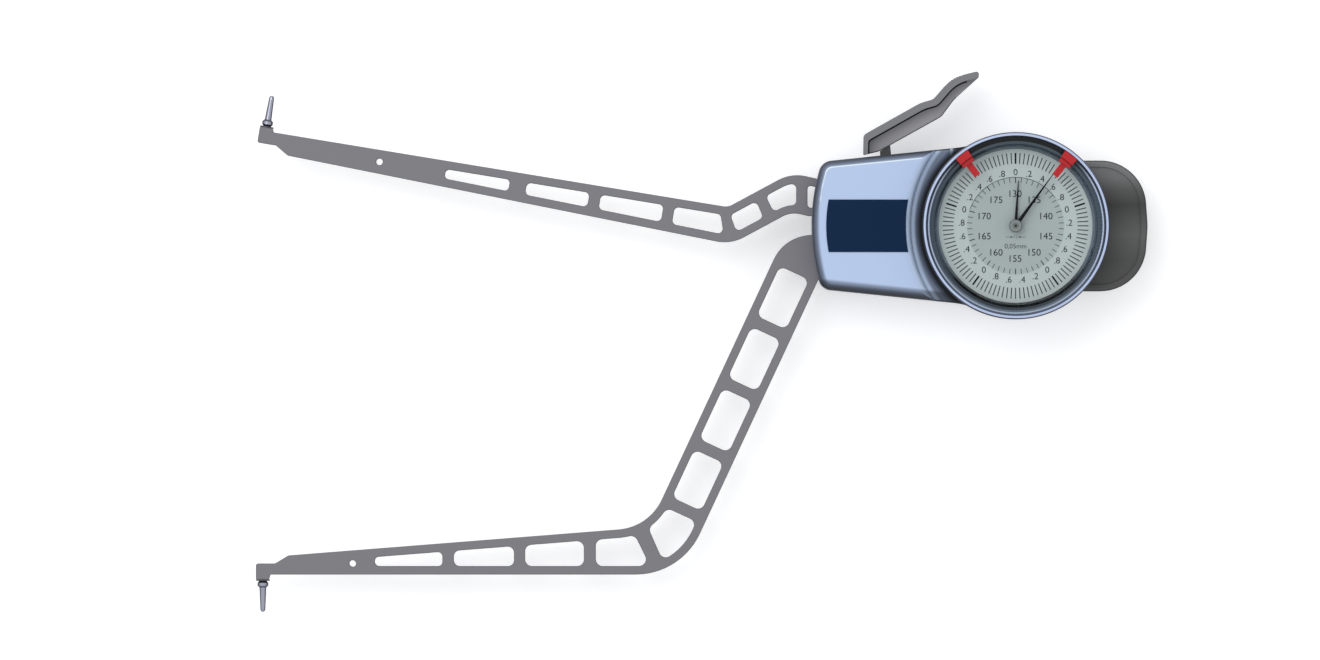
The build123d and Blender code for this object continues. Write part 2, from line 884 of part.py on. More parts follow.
def pivot_bridge():
    """Steel bridge that carries the rear pivot bush."""
    plate = Pos(pivot_x, 0) * Circle(bridge_width / 2)
    for place in bridge_places():
        plate += bar_between(pivot, Vector(*place), bridge_bar_width)
        plate += Pos(*place) * Circle(bridge_bar_width / 2)
    plate &= block_outline(wall + bridge_wall_gap)
    plate = prism(plate, bridge_level, bridge_level + bridge_thickness)
    plate -= disc(pivot_place, bush_radius, 0, face_level)
    for place in bridge_places():
        plate -= disc(place, cover_screw + hole_gap, 0, face_level)
    return plate


def pivot_bridge_screws():
    """Screws of the bridge."""
    return [screw(place, bridge_level, cover_screw, bridge_screw_length, bridge_screw_head,
                  cover_screw_head_height, up=False) for place in bridge_places()]


def pivot_bushes():
    """Rear and front bush of the pivot shaft."""
    bore = pivot_radius + bush_gap
    rear = ring(pivot_place, bush_radius, bore, bridge_level - bush_overhang,
                bridge_level + bridge_thickness + bush_overhang)
    front = ring(pivot_place, bush_radius, bore, front_plate_level, block_ceiling + bite)
    return [rear, front]


def stop_pins():
    """Open and closed stop pin, pressed into the front wall."""
    return [disc(place, stop_pin_radius, arm_top - bite, block_ceiling + 2 * bite) for place in stop_places()]


def return_spring():
    """Flat strip from its slotted block to the stem, which it pushes to the open stop."""
    start, along = stem_line()
    aside = Vector(along.Y, -along.X)
    touch = start + along * spring_touch_reach + aside * ((stem_width + spring_thickness) / 2 + stop_gap)
    tip = touch + aside * spring_tip[0] - along * spring_tip[1]
    left, right = [pivot_x + reach for reach in spring_block_reach]
    bottom = arm_top + spring_lift
    path = [(right, spring_slot_y), (left - bite, spring_slot_y), touch, tip]
    return prism(strip(path, spring_thickness), bottom, bottom + spring_width)


# Arms

def tip_corners(origin, angle, side, nose, depth, boom_depth):
    """Corners of a tip block, from the pinned edge round the nose to the ramp."""
    along = turn(angle)
    out = Vector(-along.Y, along.X) * side
    base = Vector(*origin)
    places = [(block_width + block_flare, 0), (block_width, nose), (0, nose), (0, -depth),
              (block_shoulder, -depth), (block_shoulder + ramp_length, -boom_depth)]
    return [(base + along * x + out * y, radius) for (x, y), radius in zip(places, block_radii + ramp_radii)]


def fixed_lines():
    """Edges of the fixed arm: boom, root stretch and end stretch, upper and lower."""
    upper = line(fixed_tip, fixed_edge_angle)
    ramp_end = upper[0] + upper[1] * (block_shoulder + ramp_length)
    lower = line((ramp_end + Vector(upper[1].Y, -upper[1].X) * fixed_boom_depth),
                 fixed_edge_angle - fixed_taper)
    knee = meet(upper, line((fixed_knee_x, 0), 90))
    root_upper = line(knee, fixed_root_angle)
    root_lower = shifted(root_upper, -fixed_root_width)
    shoulder = meet(root_upper, line((fixed_shoulder_x, 0), 90))
    end_upper = line(shoulder, fixed_end_angle)
    end_lower = shifted(end_upper, -fixed_end_width)
    return upper, lower, root_upper, root_lower, end_upper, end_lower


def fixed_arm_face():
    """Outline of the fixed arm."""
    upper, lower, root_upper, root_lower, end_upper, end_lower = fixed_lines()
    stop = line((fixed_end_x, 0), 90)
    floor = line((0, fixed_end_low_y), 0)
    corners = tip_corners(*fixed_block, fixed_tip_depth, fixed_boom_depth)
    corners += [(meet(lower, root_lower), fixed_knee_radii[1]),
                (meet(root_lower, end_lower), fixed_shoulder_radii[1]),
                (meet(end_lower, floor), 0.0), (meet(floor, stop), 0.0),
                (meet(end_upper, stop), fixed_end_radius),
                (meet(root_upper, end_upper), fixed_shoulder_radii[0]),
                (meet(upper, root_upper), fixed_knee_radii[0])]
    return rounded(corners)


def boom_strips(edge, start, lengths, bars, last_skew=0.0):
    """Strips for the windows of a boom, one after the other, the last with a skew end."""
    strips = []
    skews = (0.0,) * len(bars) + (last_skew,)
    for length, bar, skew in zip(lengths, bars + (0.0,), skews):
        strips.append(cross_strip(edge, start, start + length, (0.0, skew)))
        start += length + bar
    return strips


def bevelled_prism(face, bottom, top, bevel):
    """Prism with bevelled edges round its lower and upper face."""
    body = prism(face, bottom, top)
    rims = body.edges().filter_by_position(Axis.Z, bottom, bottom)
    rims += body.edges().filter_by_position(Axis.Z, top, top)
    return chamfer(rims, bevel)


def fixed_arm():
    """Upper arm, screwed to the pad in the housing."""
    face = fixed_arm_face()
    upper, lower, root_upper, root_lower, end_upper, end_lower = fixed_lines()
    strips = boom_strips(upper, fixed_window_start, fixed_window_lengths, fixed_window_bars,
                         fixed_window_skew)
    strips += [cross_strip(root_upper, start, end, skew) for start, end, *skew in fixed_root_windows]
    strips.append(area(fixed_end_window[0], 0, fixed_end_window[1], case_radius))
    for window in pierced(face, arm_rim, strips, fixed_window_corner):
        face -= window
    hole = upper[0] + upper[1] * fixed_hole_from_tip + Vector(upper[1].Y, -upper[1].X) * fixed_hole_depth
    face -= Pos(hole.X, hole.Y) * Circle(small_hole_radius)
    arm = bevelled_prism(face, arm_level, arm_top, arm_bevel)
    for place in fixed_screw_places:
        arm -= disc(place, fixed_screw + hole_gap, arm_level, arm_top)
    return arm - pin_hole(*fixed_block)


def moving_lines():
    """Edges of the moving arm: boom, slanted stretch and root."""
    lower = line(moving_tip, 0)
    ramp_end = Vector(*moving_tip) + Vector(block_shoulder + ramp_length, moving_boom_depth)
    upper = line(ramp_end, moving_taper)
    outer = line((moving_elbow_x, moving_tip[1]), moving_slant)
    inner = shifted(outer, moving_slant_width)
    root = line((left_end, moving_root_y), moving_root_angle)
    return lower, upper, outer, inner, root


def moving_arm_face():
    """Outline of the moving arm, without its hub."""
    lower, upper, outer, inner, root = moving_lines()
    heel = meet(outer, line((0, moving_heel_y), 0))
    corners = [(meet(lower, outer), moving_elbow_radii[1]),
               (heel, moving_heel_radius),
               ((pivot_x, -hub_radius), 0.0),
               (meet(root, line(pivot_place, 90)), 0.0),
               (meet(inner, root), moving_root_radius),
               (meet(upper, inner), moving_elbow_radii[0])]
    corners += reversed(tip_corners(*moving_block, moving_tip_depth, moving_boom_depth))
    return rounded(corners)


def moving_arm():
    """Lower arm, clamped on the pivot shaft."""
    face = moving_arm_face()
    lower, upper, outer, inner, root = moving_lines()
    strips = boom_strips(lower, moving_window_start, moving_window_lengths, moving_window_bars,
                         moving_window_skew)
    strips += boom_strips(outer, slant_window_start, slant_window_lengths, slant_window_bars)
    strips.append(elbow_strip())
    for window in pierced(face, arm_rim, strips, moving_window_corner):
        face -= window
    hole = (moving_tip[0] + moving_hole_from_tip, moving_tip[1] + moving_hole_height)
    face -= Pos(*hole) * Circle(small_hole_radius)
    face += Pos(pivot_x, 0) * Circle(hub_radius)
    arm = bevelled_prism(face, arm_level, arm_top, arm_bevel) - disc(pivot_place, pivot_radius, 0, face_level)
    for place in hub_screw_places():
        arm -= disc(place, hub_screw, arm_level + hub_screw_floor, arm_top)
    return arm - pin_hole(*moving_block)


def elbow_strip():
    """Strip for the window in the elbow, between two bars that meet at an angle."""
    lower, upper, outer, inner, root = moving_lines()
    start = outer[0] + outer[1] * (slant_window_start - elbow_window_gap)
    reach = 2 * moving_slant_width
    across = (inner[0] - outer[0]).normalized() * reach
    foot = Vector(moving_tip[0] + elbow_bar_from_tip, moving_tip[1])
    bar = turn(elbow_bar_angle) * reach
    corners = [start + across, start - across, foot + Vector(reach, -reach), foot - bar, foot + bar]
    return make_face(Polyline(*corners, close=True))


def hub_screw_places():
    """Centres of the screws through the hub."""
    return [polar(hub_screw_circle, angle, pivot_place) for angle in hub_screw_angles]


def pin_frame(origin, angle, side, nose):
    """Plane whose X is along the arm's edge and whose origin is on the block's nose, under the pin."""
    along = turn(angle)
    out = Vector(-along.Y, along.X) * side
    seat = Vector(*origin) + along * pin_inset + out * nose
    middle = Vector(seat.X, seat.Y, (arm_level + arm_top) / 2)
    return Plane(origin=middle, x_dir=along, z_dir=out)


def pin_solid(block):
    """Contact pin on a tip block, with its thread, its round collar and its tapered shank."""
    end = thread_gap - pin_thread_length
    seat = pin_washer_thickness
    half_section = [(0, end), (pin_thread, end), (pin_thread, seat), (pin_collar_foot, seat),
                    (pin_collar, seat + pin_collar_bevel),
                    (pin_collar, pin_collar_height - pin_collar_bevel), (pin_foot, pin_collar_height),
                    (pin_tip, pin_length - pin_tip_length), (pin_tip_flat, pin_length - pin_tip_bevel),
                    (0, pin_length)]
    profile = make_face(Polyline(*[(x, 0, y) for x, y in half_section], close=True))
    return pin_frame(*block) * revolve(profile, Axis.Z)


def pin_hole(origin, angle, side, nose):
    """Threaded hole for a contact pin."""
    hole = Pos(0, 0, -pin_thread_length / 2) * Cylinder(pin_thread, pin_thread_length)
    return pin_frame(origin, angle, side, nose) * hole


def pin_washer(block):
    """Washer between a contact pin's collar and its tip block."""
    washer = extrude(Circle(pin_washer_radius) - Circle(pin_thread), pin_washer_thickness)
    return pin_frame(*block) * washer


def fixed_arm_screws():
    """Screws of the fixed arm."""
    return [screw(place, arm_level, fixed_screw, fixed_screw_length, fixed_screw_head,
                  fixed_screw_head_height, up=False) for place in fixed_screw_places]


# Thumb lever and hub stack

def lever_outline():
    """Side outline of the thumb lever, set out from the housing's upper edge at the pivot."""
    base = edge_point(True, pivot_x)
    points = (lever_heel, lever_back, lever_knuckle, lever_dip, lever_rise, lever_end, lever_nose,
              lever_hollow, lever_belly, lever_seat)
    return rounded([(base + Vector(*point), radius) for point, radius in zip(points, lever_radii)])


def serration_places(outline):
    """Centres of the fine grooves across the thumb rest, along the arc of its rise."""
    rise = edge_point(True, pivot_x) + Vector(*lever_rise)
    arc = min(outline.edges(), key=lambda edge: (edge @ 0.5 - rise).length)
    count = int(arc.length / serration_pitch)
    return [arc @ ((index + 0.5) / count) for index in range(count)]


def stem(width):
    """Outline of the stem from the pivot into the lever's web."""
    start, along = stem_line()
    return bar_between(start, start + along * (edge_point(True, pivot_x).Y + stem_rise), width)


def thumb_lever():
    """Lever with its web, its cap and the foot on the moving arm's hub."""
    outline = lever_outline()
    cap = outline - Pos(*lever_cap_shift) * outline
    middle = arm_top + foot_thickness / 2
    bottom = middle - lever_cap_width / 2
    lever = prism(outline, middle - lever_web / 2, middle + lever_web / 2)
    lever += prism(cap, bottom, bottom + lever_cap_width)
    for place in serration_places(outline):
        lever -= disc((place.X, place.Y), serration_radius, bottom, bottom + lever_cap_width)
    foot = Pos(pivot_x, 0) * Circle(hub_radius)
    lever += prism(stem(stem_width) + foot, arm_top, foot_top)
    lever -= disc(pivot_place, pivot_radius, 0, face_level)
    for place in hub_screw_places():
        lever -= disc(place, hub_screw, arm_top, foot_top)
    return lever


def lever_boot():
    """Rubber boot round the stem, between the housing's top wall and the lever's underside."""
    base = meet(edge_line(True), stem_line())
    along = turn(edge_slope)
    out = turn(90 + edge_slope)
    frame = Plane(origin=(base.X, base.Y, arm_top + foot_thickness / 2), x_dir=along, z_dir=out)
    margin = 2 * boot_wall
    flare = margin + 2 * boot_flare
    foot = Rectangle(stem_width + flare, foot_thickness + flare)
    neck = Pos(boot_shift, 0, boot_height) * Rectangle(stem_width + margin, foot_thickness + margin)
    boot = frame * loft([foot, neck]) - prism(Pos(0, -boot_gap) * lever_outline(), 0, face_level)
    return boot - prism(stem(stem_width + 2 * boot_gap), arm_top - boot_gap, foot_top + boot_gap)


def pivot_shaft():
    """Shaft of the moving arm, from the rear to the front bush."""
    return disc(pivot_place, pivot_radius, bridge_level - shaft_overhang, block_ceiling + shaft_overhang)


def thrust_washers():
    """Washers between the hub and its bushes."""
    rear = ring(pivot_place, washer_radius, pivot_radius,
                bridge_level + bridge_thickness + bush_overhang + washer_gap, arm_level)
    front = ring(pivot_place, washer_radius, pivot_radius, sector_top, front_plate_level - washer_gap)
    return [rear, front]


def hub_screws():
    """Screws through the sector and the lever's foot into the arm."""
    length = sector_top - arm_level - hub_screw_floor - thread_gap
    return [screw(place, sector_top, hub_screw, length, hub_screw_head, hub_screw_head_height)
            for place in hub_screw_places()]


def sector_gear():
    """Toothed sector on the pivot hub, pierced between its two spokes."""
    step = 360.0 / sector_teeth
    points = []
    for index in range(sector_first_tooth, sector_last_tooth + 1):
        points += tooth_points(sector_teeth, sector_module, index * step)
    low = (sector_first_tooth - sector_end) * step
    high = (sector_last_tooth + sector_end) * step
    floor = (sector_teeth / 2 - tooth_dedendum) * sector_module
    outline = [polar(floor, low)] + points + [polar(floor, high)]
    outline += [polar(sector_hub_reach, 90 + high), polar(sector_hub_reach, low - 90)]
    sides = (low + sector_spoke_angle, high - sector_spoke_angle)
    window = [polar(floor - sector_rim, angle) for angle in sides]
    window += [polar(sector_window_start, angle) for angle in reversed(sides)]
    face = make_face(Polyline(*outline, close=True))
    face -= rounded([(corner, sector_window_corner) for corner in window])
    sector = prism(Pos(pivot_x, 0) * (face + Circle(sector_hub_radius)), foot_top, sector_top)
    sector -= disc(pivot_place, pivot_radius, 0, face_level)
    for place in hub_screw_places():
        sector -= disc(place, hub_screw, foot_top, sector_top)
    return sector


# Pointer work

def idle_centre():
    """Centre of the intermediate wheel."""
    return polar(idle_distance, idle_direction)


def cannon_wheel():
    """Tube round the centre arbor with its wheel and the pinion that the sector drives."""
    wheel = gear(cannon_wheel_teeth, idle_module, idle_direction, (0, 0), cannon_wheel_level,
                 cannon_wheel_level + wheel_thickness)
    pinion = gear(cannon_teeth, sector_module, 180 + 180 / cannon_teeth, (0, 0),
                  foot_top - pinion_overhang, sector_top + pinion_overhang)
    tube = disc((0, 0), cannon_radius, cannon_wheel_level, small_pointer_level + pointer_thickness)
    return wheel + pinion + tube - disc((0, 0), arbor_radius + running_gap, 0, face_level)


def idle_arbor():
    """Arbor of the intermediate wheel, with its pinion."""
    place = idle_centre()
    bottom = cannon_wheel_level - pinion_overhang
    pinion = gear(idle_pinion_teeth, idle_module, idle_direction + 180 + 180 / idle_pinion_teeth, place,
                  bottom, bottom + wheel_thickness + 2 * pinion_overhang)
    return pinion + disc(place, arbor_radius, rear_plate_level + arbor_end, front_plate_top - arbor_end)


def idle_wheel():
    """Intermediate wheel on its arbor."""
    place = idle_centre()
    wheel = gear(idle_wheel_teeth, idle_module, idle_direction + 180, place, idle_wheel_level,
                 idle_wheel_level + wheel_thickness)
    return wheel - disc(place, arbor_radius, 0, face_level)


def centre_arbor():
    """Thin arbor through the cannon, with the pinion at its rear end."""
    pinion = gear(centre_teeth, idle_module, idle_direction + 180 / centre_teeth, (0, 0),
                  idle_wheel_level - pinion_overhang, idle_wheel_level + wheel_thickness + pinion_overhang)
    end = large_pointer_level + pointer_thickness
    return pinion + disc((0, 0), arbor_radius, rear_plate_level + arbor_end, end)


def movement_bushes():
    """Brass bushes in the two plates."""
    bore = arbor_radius + running_gap
    rear = (rear_plate_level, rear_plate_top)
    front = (front_plate_level, front_plate_top)
    return [ring((0, 0), arbor_bush_radius, bore, *rear), ring(idle_centre(), arbor_bush_radius, bore, *rear),
            ring(idle_centre(), arbor_bush_radius, bore, *front),
            ring((0, 0), cannon_bush_radius, cannon_radius + running_gap, *front)]


def movement_rear_plate():
    """Rear plate of the movement."""
    plate = disc((0, 0), rear_plate_radius, rear_plate_level, rear_plate_top)
    for place in ((0, 0), idle_centre()):
        plate -= disc(place, arbor_bush_radius, 0, face_level)
    for angle in pillar_angles:
        plate -= disc(polar(pillar_circle, angle), small_screw, 0, face_level)
    return plate


def movement_front_plate():
    """Front plate of the movement, which rests on the case's posts."""
    plate = disc((0, 0), movement_bore - front_plate_gap, front_plate_level, front_plate_top)
    plate -= disc((0, 0), cannon_bush_radius, 0, face_level)
    plate -= disc(idle_centre(), arbor_bush_radius, 0, face_level)
    for angle in pillar_angles:
        plate -= disc(polar(pillar_circle, angle), small_screw, 0, face_level)
    for angle in case_post_angles:
        plate -= disc(polar(case_post_circle, angle), small_screw + hole_gap, 0, face_level)
    return plate


def movement_pillars():
    """Pillars between the two plates."""
    pillars = []
    for angle in pillar_angles:
        place = polar(pillar_circle, angle)
        pillar = disc(place, pillar_radius, rear_plate_top, front_plate_level)
        pillar -= disc(place, small_screw, rear_plate_top, rear_plate_top + pillar_hole_depth)
        pillar -= disc(place, small_screw, front_plate_level - pillar_hole_depth, front_plate_level)
        pillars.append(pillar)
    return pillars


def pillar_screws():
    """Screws at both ends of each pillar."""
    screws = []
    for angle in pillar_angles:
        place = polar(pillar_circle, angle)
        for seat, up in ((rear_plate_level, False), (front_plate_top, True)):
            screws.append(screw(place, seat, small_screw, pillar_screw_length, small_screw_head,
                                small_screw_head_height, up))
    return screws


def movement_screws():
    """Screws that hold the movement in the case."""
    return [screw(polar(case_post_circle, angle), front_plate_top, small_screw, movement_screw_length,
                  movement_screw_head, small_screw_head_height) for angle in case_post_angles]


# Dial and pointers

def pointer(length, width, bore, level, turn_length):
    """Tapered pointer on a round hub, turned clockwise from the top to the reading."""
    half = pointer_tip_width / 2
    blade = make_face(Polyline((-width / 2, 0), (width / 2, 0), (half, length), (-half, length), close=True))
    face = blade + Circle(pointer_hub) - Circle(bore)
    angle = 360.0 * (reading - scale_start) / turn_length
    return prism(Rot(0, 0, -angle) * face, level, level + pointer_thickness)


def small_pointer():
    """Pointer on the cannon."""
    return pointer(small_pointer_length, small_pointer_width, cannon_radius, small_pointer_level, small_turn)


def large_pointer():
    """Pointer on the centre arbor."""
    return pointer(large_pointer_length, large_pointer_width, arbor_radius, large_pointer_level, large_turn)


def pointer_cap():
    """Cap on the pointers' axis."""
    base = large_pointer_level + pointer_thickness
    cap = disc((0, 0), pointer_cap_radius, base, base + pointer_cap_height)
    return chamfer(cap.edges().group_by(Axis.Z)[-1], pointer_cap_bevel)


def dial_face():
    """Dial plate in the bezel's sleeve."""
    return ring((0, 0), dial_radius, dial_hole, dial_level, dial_top)


def crystal():
    """Flat glass with a bevelled edge."""
    glass = disc((0, 0), crystal_radius, crystal_level, crystal_top)
    return chamfer(glass.edges().group_by(Axis.Z)[-1], crystal_bevel)


def crystal_gasket():
    """Ring under the glass."""
    return ring((0, 0), crystal_radius, sleeve_bore_top, crystal_seat_level, crystal_level)


# Bezel and markers

def bezel_ring():
    """Turned ring with its lip, step, groove and sleeve."""
    skirt = neck_radius + bezel_gap
    seat = dial_radius + bezel_gap
    glass = crystal_radius + crystal_gap
    rim = bezel_radius - bezel_rounding
    profile = [(skirt, bezel_foot), (bezel_radius, bezel_foot), (bezel_radius, bezel_top - bezel_rounding),
               (bezel_radius - bezel_bevel, bezel_top - bezel_bevel), (rim, bezel_top),
               (lip_inner_radius, bezel_top), (lip_inner_radius, step_level), (step_radius, step_level),
               (step_radius, groove_level), (groove_outer, groove_level), (groove_inner, groove_inner_level),
               (glass, groove_inner_level - crystal_gap), (glass, crystal_seat_level),
               (sleeve_bore_top, crystal_seat_level), (sleeve_bore_bottom, dial_top), (seat, dial_top),
               (seat, sleeve_bottom), (sleeve_radius, sleeve_bottom),
               (sleeve_radius, neck_top + neck_clearance), (skirt, neck_top + neck_clearance)]
    groove = ring((0, 0), skirt + bezel_groove_depth, skirt - bite, snap_ring_level - bezel_gap,
                  snap_ring_level + snap_ring_height + bezel_gap)
    return turned(profile) - groove


def bezel_snap_ring():
    """Split ring in the grooves of the neck and the bezel."""
    inner = neck_radius - snap_groove_depth + running_gap
    top = snap_ring_level + snap_ring_height
    whole = ring((0, 0), inner + snap_ring_width, inner, snap_ring_level, top)
    half = snap_ring_split / 2
    return whole - box_between((-half, -bezel_radius, snap_ring_level), (half, 0, top))


def marker(angle):
    """Red clip on the bezel's groove with a tab over the glass."""
    tab_level = crystal_top + marker_lift
    lip = lip_inner_radius - marker_gap
    step = step_radius - marker_gap
    low_top = marker_top - marker_step
    foot = groove_level + marker_gap
    shelf = step_level + marker_gap
    profile = [(marker_inner, tab_level), (groove_inner, tab_level), (groove_outer, foot),
               (step, foot), (step, shelf), (lip, shelf), (lip, marker_top),
               (marker_inner + marker_step_run + marker_step_slope, marker_top),
               (marker_inner + marker_step_run, low_top), (marker_inner, low_top)]
    face = Plane.XZ * make_face(Polyline(*profile, close=True))
    block = Rot(0, 0, -marker_half_angle) * revolve(face, Axis.Z, 2 * marker_half_angle)
    half = marker_tab_width / 2
    tab = box_between((marker_inner - marker_tab_length, -half, tab_level),
                      (groove_inner, half, tab_level + marker_tab_thickness))
    return Rot(0, 0, 90 + angle) * (block + tab)


# Every node with its solids

nodes = {
    "housing_shell": housing_shell,
    "rear_cover": rear_cover,
    "rear_cover_gasket": rear_cover_gasket,
    "rear_cover_screws": rear_cover_screws,
    "palm_rest": palm_rest,
    "palm_rest_screws": palm_rest_screws,
    "name_plate": name_plate,
    "arm_slot_wipers": arm_slot_wipers,
    "pivot_bridge": pivot_bridge,
    "pivot_bridge_screws": pivot_bridge_screws,
    "pivot_bushes": pivot_bushes,
    "stop_pins": stop_pins,
    "return_spring": return_spring,
    "fixed_arm": fixed_arm,
    "fixed_arm_screws": fixed_arm_screws,
    "fixed_contact_pin": lambda: pin_solid(fixed_block),
    "fixed_pin_washer": lambda: pin_washer(fixed_block),
    "moving_arm": moving_arm,
    "moving_contact_pin": lambda: pin_solid(moving_block),
    "moving_pin_washer": lambda: pin_washer(moving_block),
    "thumb_lever": thumb_lever,
    "lever_boot": lever_boot,
    "pivot_shaft": pivot_shaft,
    "thrust_washers": thrust_washers,
    "hub_screws": hub_screws,
    "sector_gear": sector_gear,
    "cannon_wheel": cannon_wheel,
    "intermediate_arbor": idle_arbor,
    "intermediate_wheel": idle_wheel,
    "centre_arbor": centre_arbor,
    "movement_bushes": movement_bushes,
    "movement_rear_plate": movement_rear_plate,
    "movement_front_plate": movement_front_plate,
    "movement_pillars": movement_pillars,
    "pillar_screws": pillar_screws,
    "movement_screws": movement_screws,
    "small_pointer": small_pointer,
    "large_pointer": large_pointer,
    "pointer_cap": pointer_cap,
    "dial_face": dial_face,
    "crystal": crystal,
    "crystal_gasket": crystal_gasket,
    "bezel_ring": bezel_ring,
    "bezel_snap_ring": bezel_snap_ring,
    "left_marker": lambda: marker(marker_angles[0]),
    "right_marker": lambda: marker(marker_angles[1]),
}


def main():
    """Writes one file for each node."""
    os.makedirs("parts", exist_ok=True)
    for name, make in nodes.items():
        made = make()
        solids = [solid for piece in (made if isinstance(made, list) else [made]) for solid in piece.solids()]
        export_step(Compound(solids), os.path.join("parts", name + ".step"))


main()
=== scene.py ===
"""An inside caliper gauge with pierced arms, a thumb lever and a dial, dressed for the camera."""
import json
import logging
import math
from dataclasses import dataclass
from enum import Enum
from functools import cache, reduce

import bmesh
import bpy
import numpy as np
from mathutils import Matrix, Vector

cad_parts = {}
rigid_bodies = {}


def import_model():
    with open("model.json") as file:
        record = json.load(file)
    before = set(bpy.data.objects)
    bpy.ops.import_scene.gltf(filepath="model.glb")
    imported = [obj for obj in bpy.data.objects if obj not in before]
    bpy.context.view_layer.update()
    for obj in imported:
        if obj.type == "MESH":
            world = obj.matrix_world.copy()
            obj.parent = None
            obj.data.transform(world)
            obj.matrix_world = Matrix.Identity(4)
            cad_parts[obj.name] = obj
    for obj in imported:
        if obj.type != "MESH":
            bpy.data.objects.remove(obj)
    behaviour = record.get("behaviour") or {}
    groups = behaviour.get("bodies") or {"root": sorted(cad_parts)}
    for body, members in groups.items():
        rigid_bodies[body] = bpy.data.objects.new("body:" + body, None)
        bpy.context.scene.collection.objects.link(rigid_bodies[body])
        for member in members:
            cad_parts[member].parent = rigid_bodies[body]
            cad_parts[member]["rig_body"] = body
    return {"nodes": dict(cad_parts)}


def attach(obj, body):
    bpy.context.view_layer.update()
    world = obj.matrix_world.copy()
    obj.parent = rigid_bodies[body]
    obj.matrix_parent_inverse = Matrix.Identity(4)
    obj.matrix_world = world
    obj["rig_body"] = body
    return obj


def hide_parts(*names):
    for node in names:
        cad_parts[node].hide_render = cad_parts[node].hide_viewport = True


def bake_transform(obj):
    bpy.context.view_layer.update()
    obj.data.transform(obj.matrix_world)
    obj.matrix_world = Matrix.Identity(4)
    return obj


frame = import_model()
logging.basicConfig(level=logging.INFO, format="%(message)s")
log = logging.getLogger("gauge")

MM = 0.001
JOIN_DISTANCE = 1e-6
SHARP_DEGREES = 26.0
AREA_WEIGHT = 80
WHITE = (1.0, 1.0, 1.0, 1.0)

Colour = tuple[float, float, float]
Linear = tuple[float, float, float, float]
Point = tuple[float, float, float]
Span = tuple[float, float]
Stops = tuple[tuple[float, Colour], ...]
Faces = np.ndarray | list[list[int]]
Flat = tuple[np.ndarray, list[list[int]]]
Piece = bpy.types.Object
Node = bpy.types.Node
Tree = bpy.types.NodeTree
Socket = bpy.types.NodeSocket
Sockets = bpy.types.bpy_prop_collection
Inputs = dict[str | int, object]


# Shared shapes

def full_turn(steps: int) -> np.ndarray:
    """Angles of a full turn in radians, without its end, which is its start again."""
    return np.linspace(0.0, 2.0 * math.pi, steps, endpoint=False)


def turned(radius: np.ndarray, angle: np.ndarray, level: np.ndarray | float) -> np.ndarray:
    """Grid of points (r cos t, r sin t, z) in metres, from radii and levels in millimetres."""
    grid = np.broadcast_arrays(radius * np.cos(angle), radius * np.sin(angle), level)
    return np.stack(grid, axis=-1) * MM


def grid_faces(rows: int, columns: int, closed: bool) -> np.ndarray:
    """Quads between neighbours of a grid: each face joins (i, j), (i, j+1), (i+1, j+1) and (i+1, j).

    Args:
        rows: Number of rows.
        columns: Number of columns.
        closed: Whether the last row joins the first, and the last column the first.

    Returns:
        Point indices, one row of four for each face.
    """
    left_out = 0 if closed else 1
    i = np.arange(rows - left_out)[:, None]
    j = np.arange(columns - left_out)[None, :]
    after_i, after_j = (i + 1) % rows, (j + 1) % columns
    corners = [i * columns + j, i * columns + after_j, after_i * columns + after_j, after_i * columns + j]
    return np.stack(corners, axis=-1).reshape(-1, 4)


def points_of(mesh: bpy.types.Mesh) -> np.ndarray:
    """Reads the places of a mesh's points.

    Args:
        mesh: The mesh.

    Returns:
        One row of X, Y and Z for each point.
    """
    points = np.empty(len(mesh.vertices) * 3)
    mesh.vertices.foreach_get("co", points)
    return points.reshape(-1, 3)


def add_object(name: str, data: bpy.types.ID) -> Piece:
    """Puts a mesh, curve, lamp or camera into the scene.

    Args:
        name: Name of the object.
        data: What it shows.

    Returns:
        The object, at the origin.
    """
    thing = bpy.data.objects.new(name, data)
    bpy.context.scene.collection.objects.link(thing)
    return thing


def mesh_object(name: str, points: np.ndarray, faces: Faces) -> Piece:
    """Makes a mesh object at the origin.

    Args:
        name: Name of the piece.
        points: Its points in metres.
        faces: Point indices of each face, which may differ in number.

    Returns:
        The new piece.
    """
    mesh = bpy.data.meshes.new(name)
    corners = faces.tolist() if isinstance(faces, np.ndarray) else faces
    mesh.from_pydata(points.reshape(-1, 3).tolist(), [], corners)
    mesh.validate()
    return add_object(name, mesh)


def shade(piece: Piece, sharp_degrees: float) -> None:
    """Shades a piece smooth, apart from its sharp edges.

    Args:
        piece: The piece.
        sharp_degrees: Angle above which an edge is sharp.
    """
    mesh = piece.data
    mesh.polygons.foreach_set("use_smooth", np.ones(len(mesh.polygons), dtype=bool))
    mesh.set_sharp_from_angle(angle=math.radians(sharp_degrees))
    mesh.update()


def upwards(piece: Piece) -> None:
    """Turns flat faces that look down so that they look up.

    Args:
        piece: The piece.
    """
    mesh = piece.data
    normals = np.empty(len(mesh.polygons) * 3)
    mesh.polygons.foreach_get("normal", normals)
    for index in np.nonzero(normals.reshape(-1, 3)[:, 2] < 0.0)[0]:
        mesh.polygons[int(index)].flip()
    mesh.update()


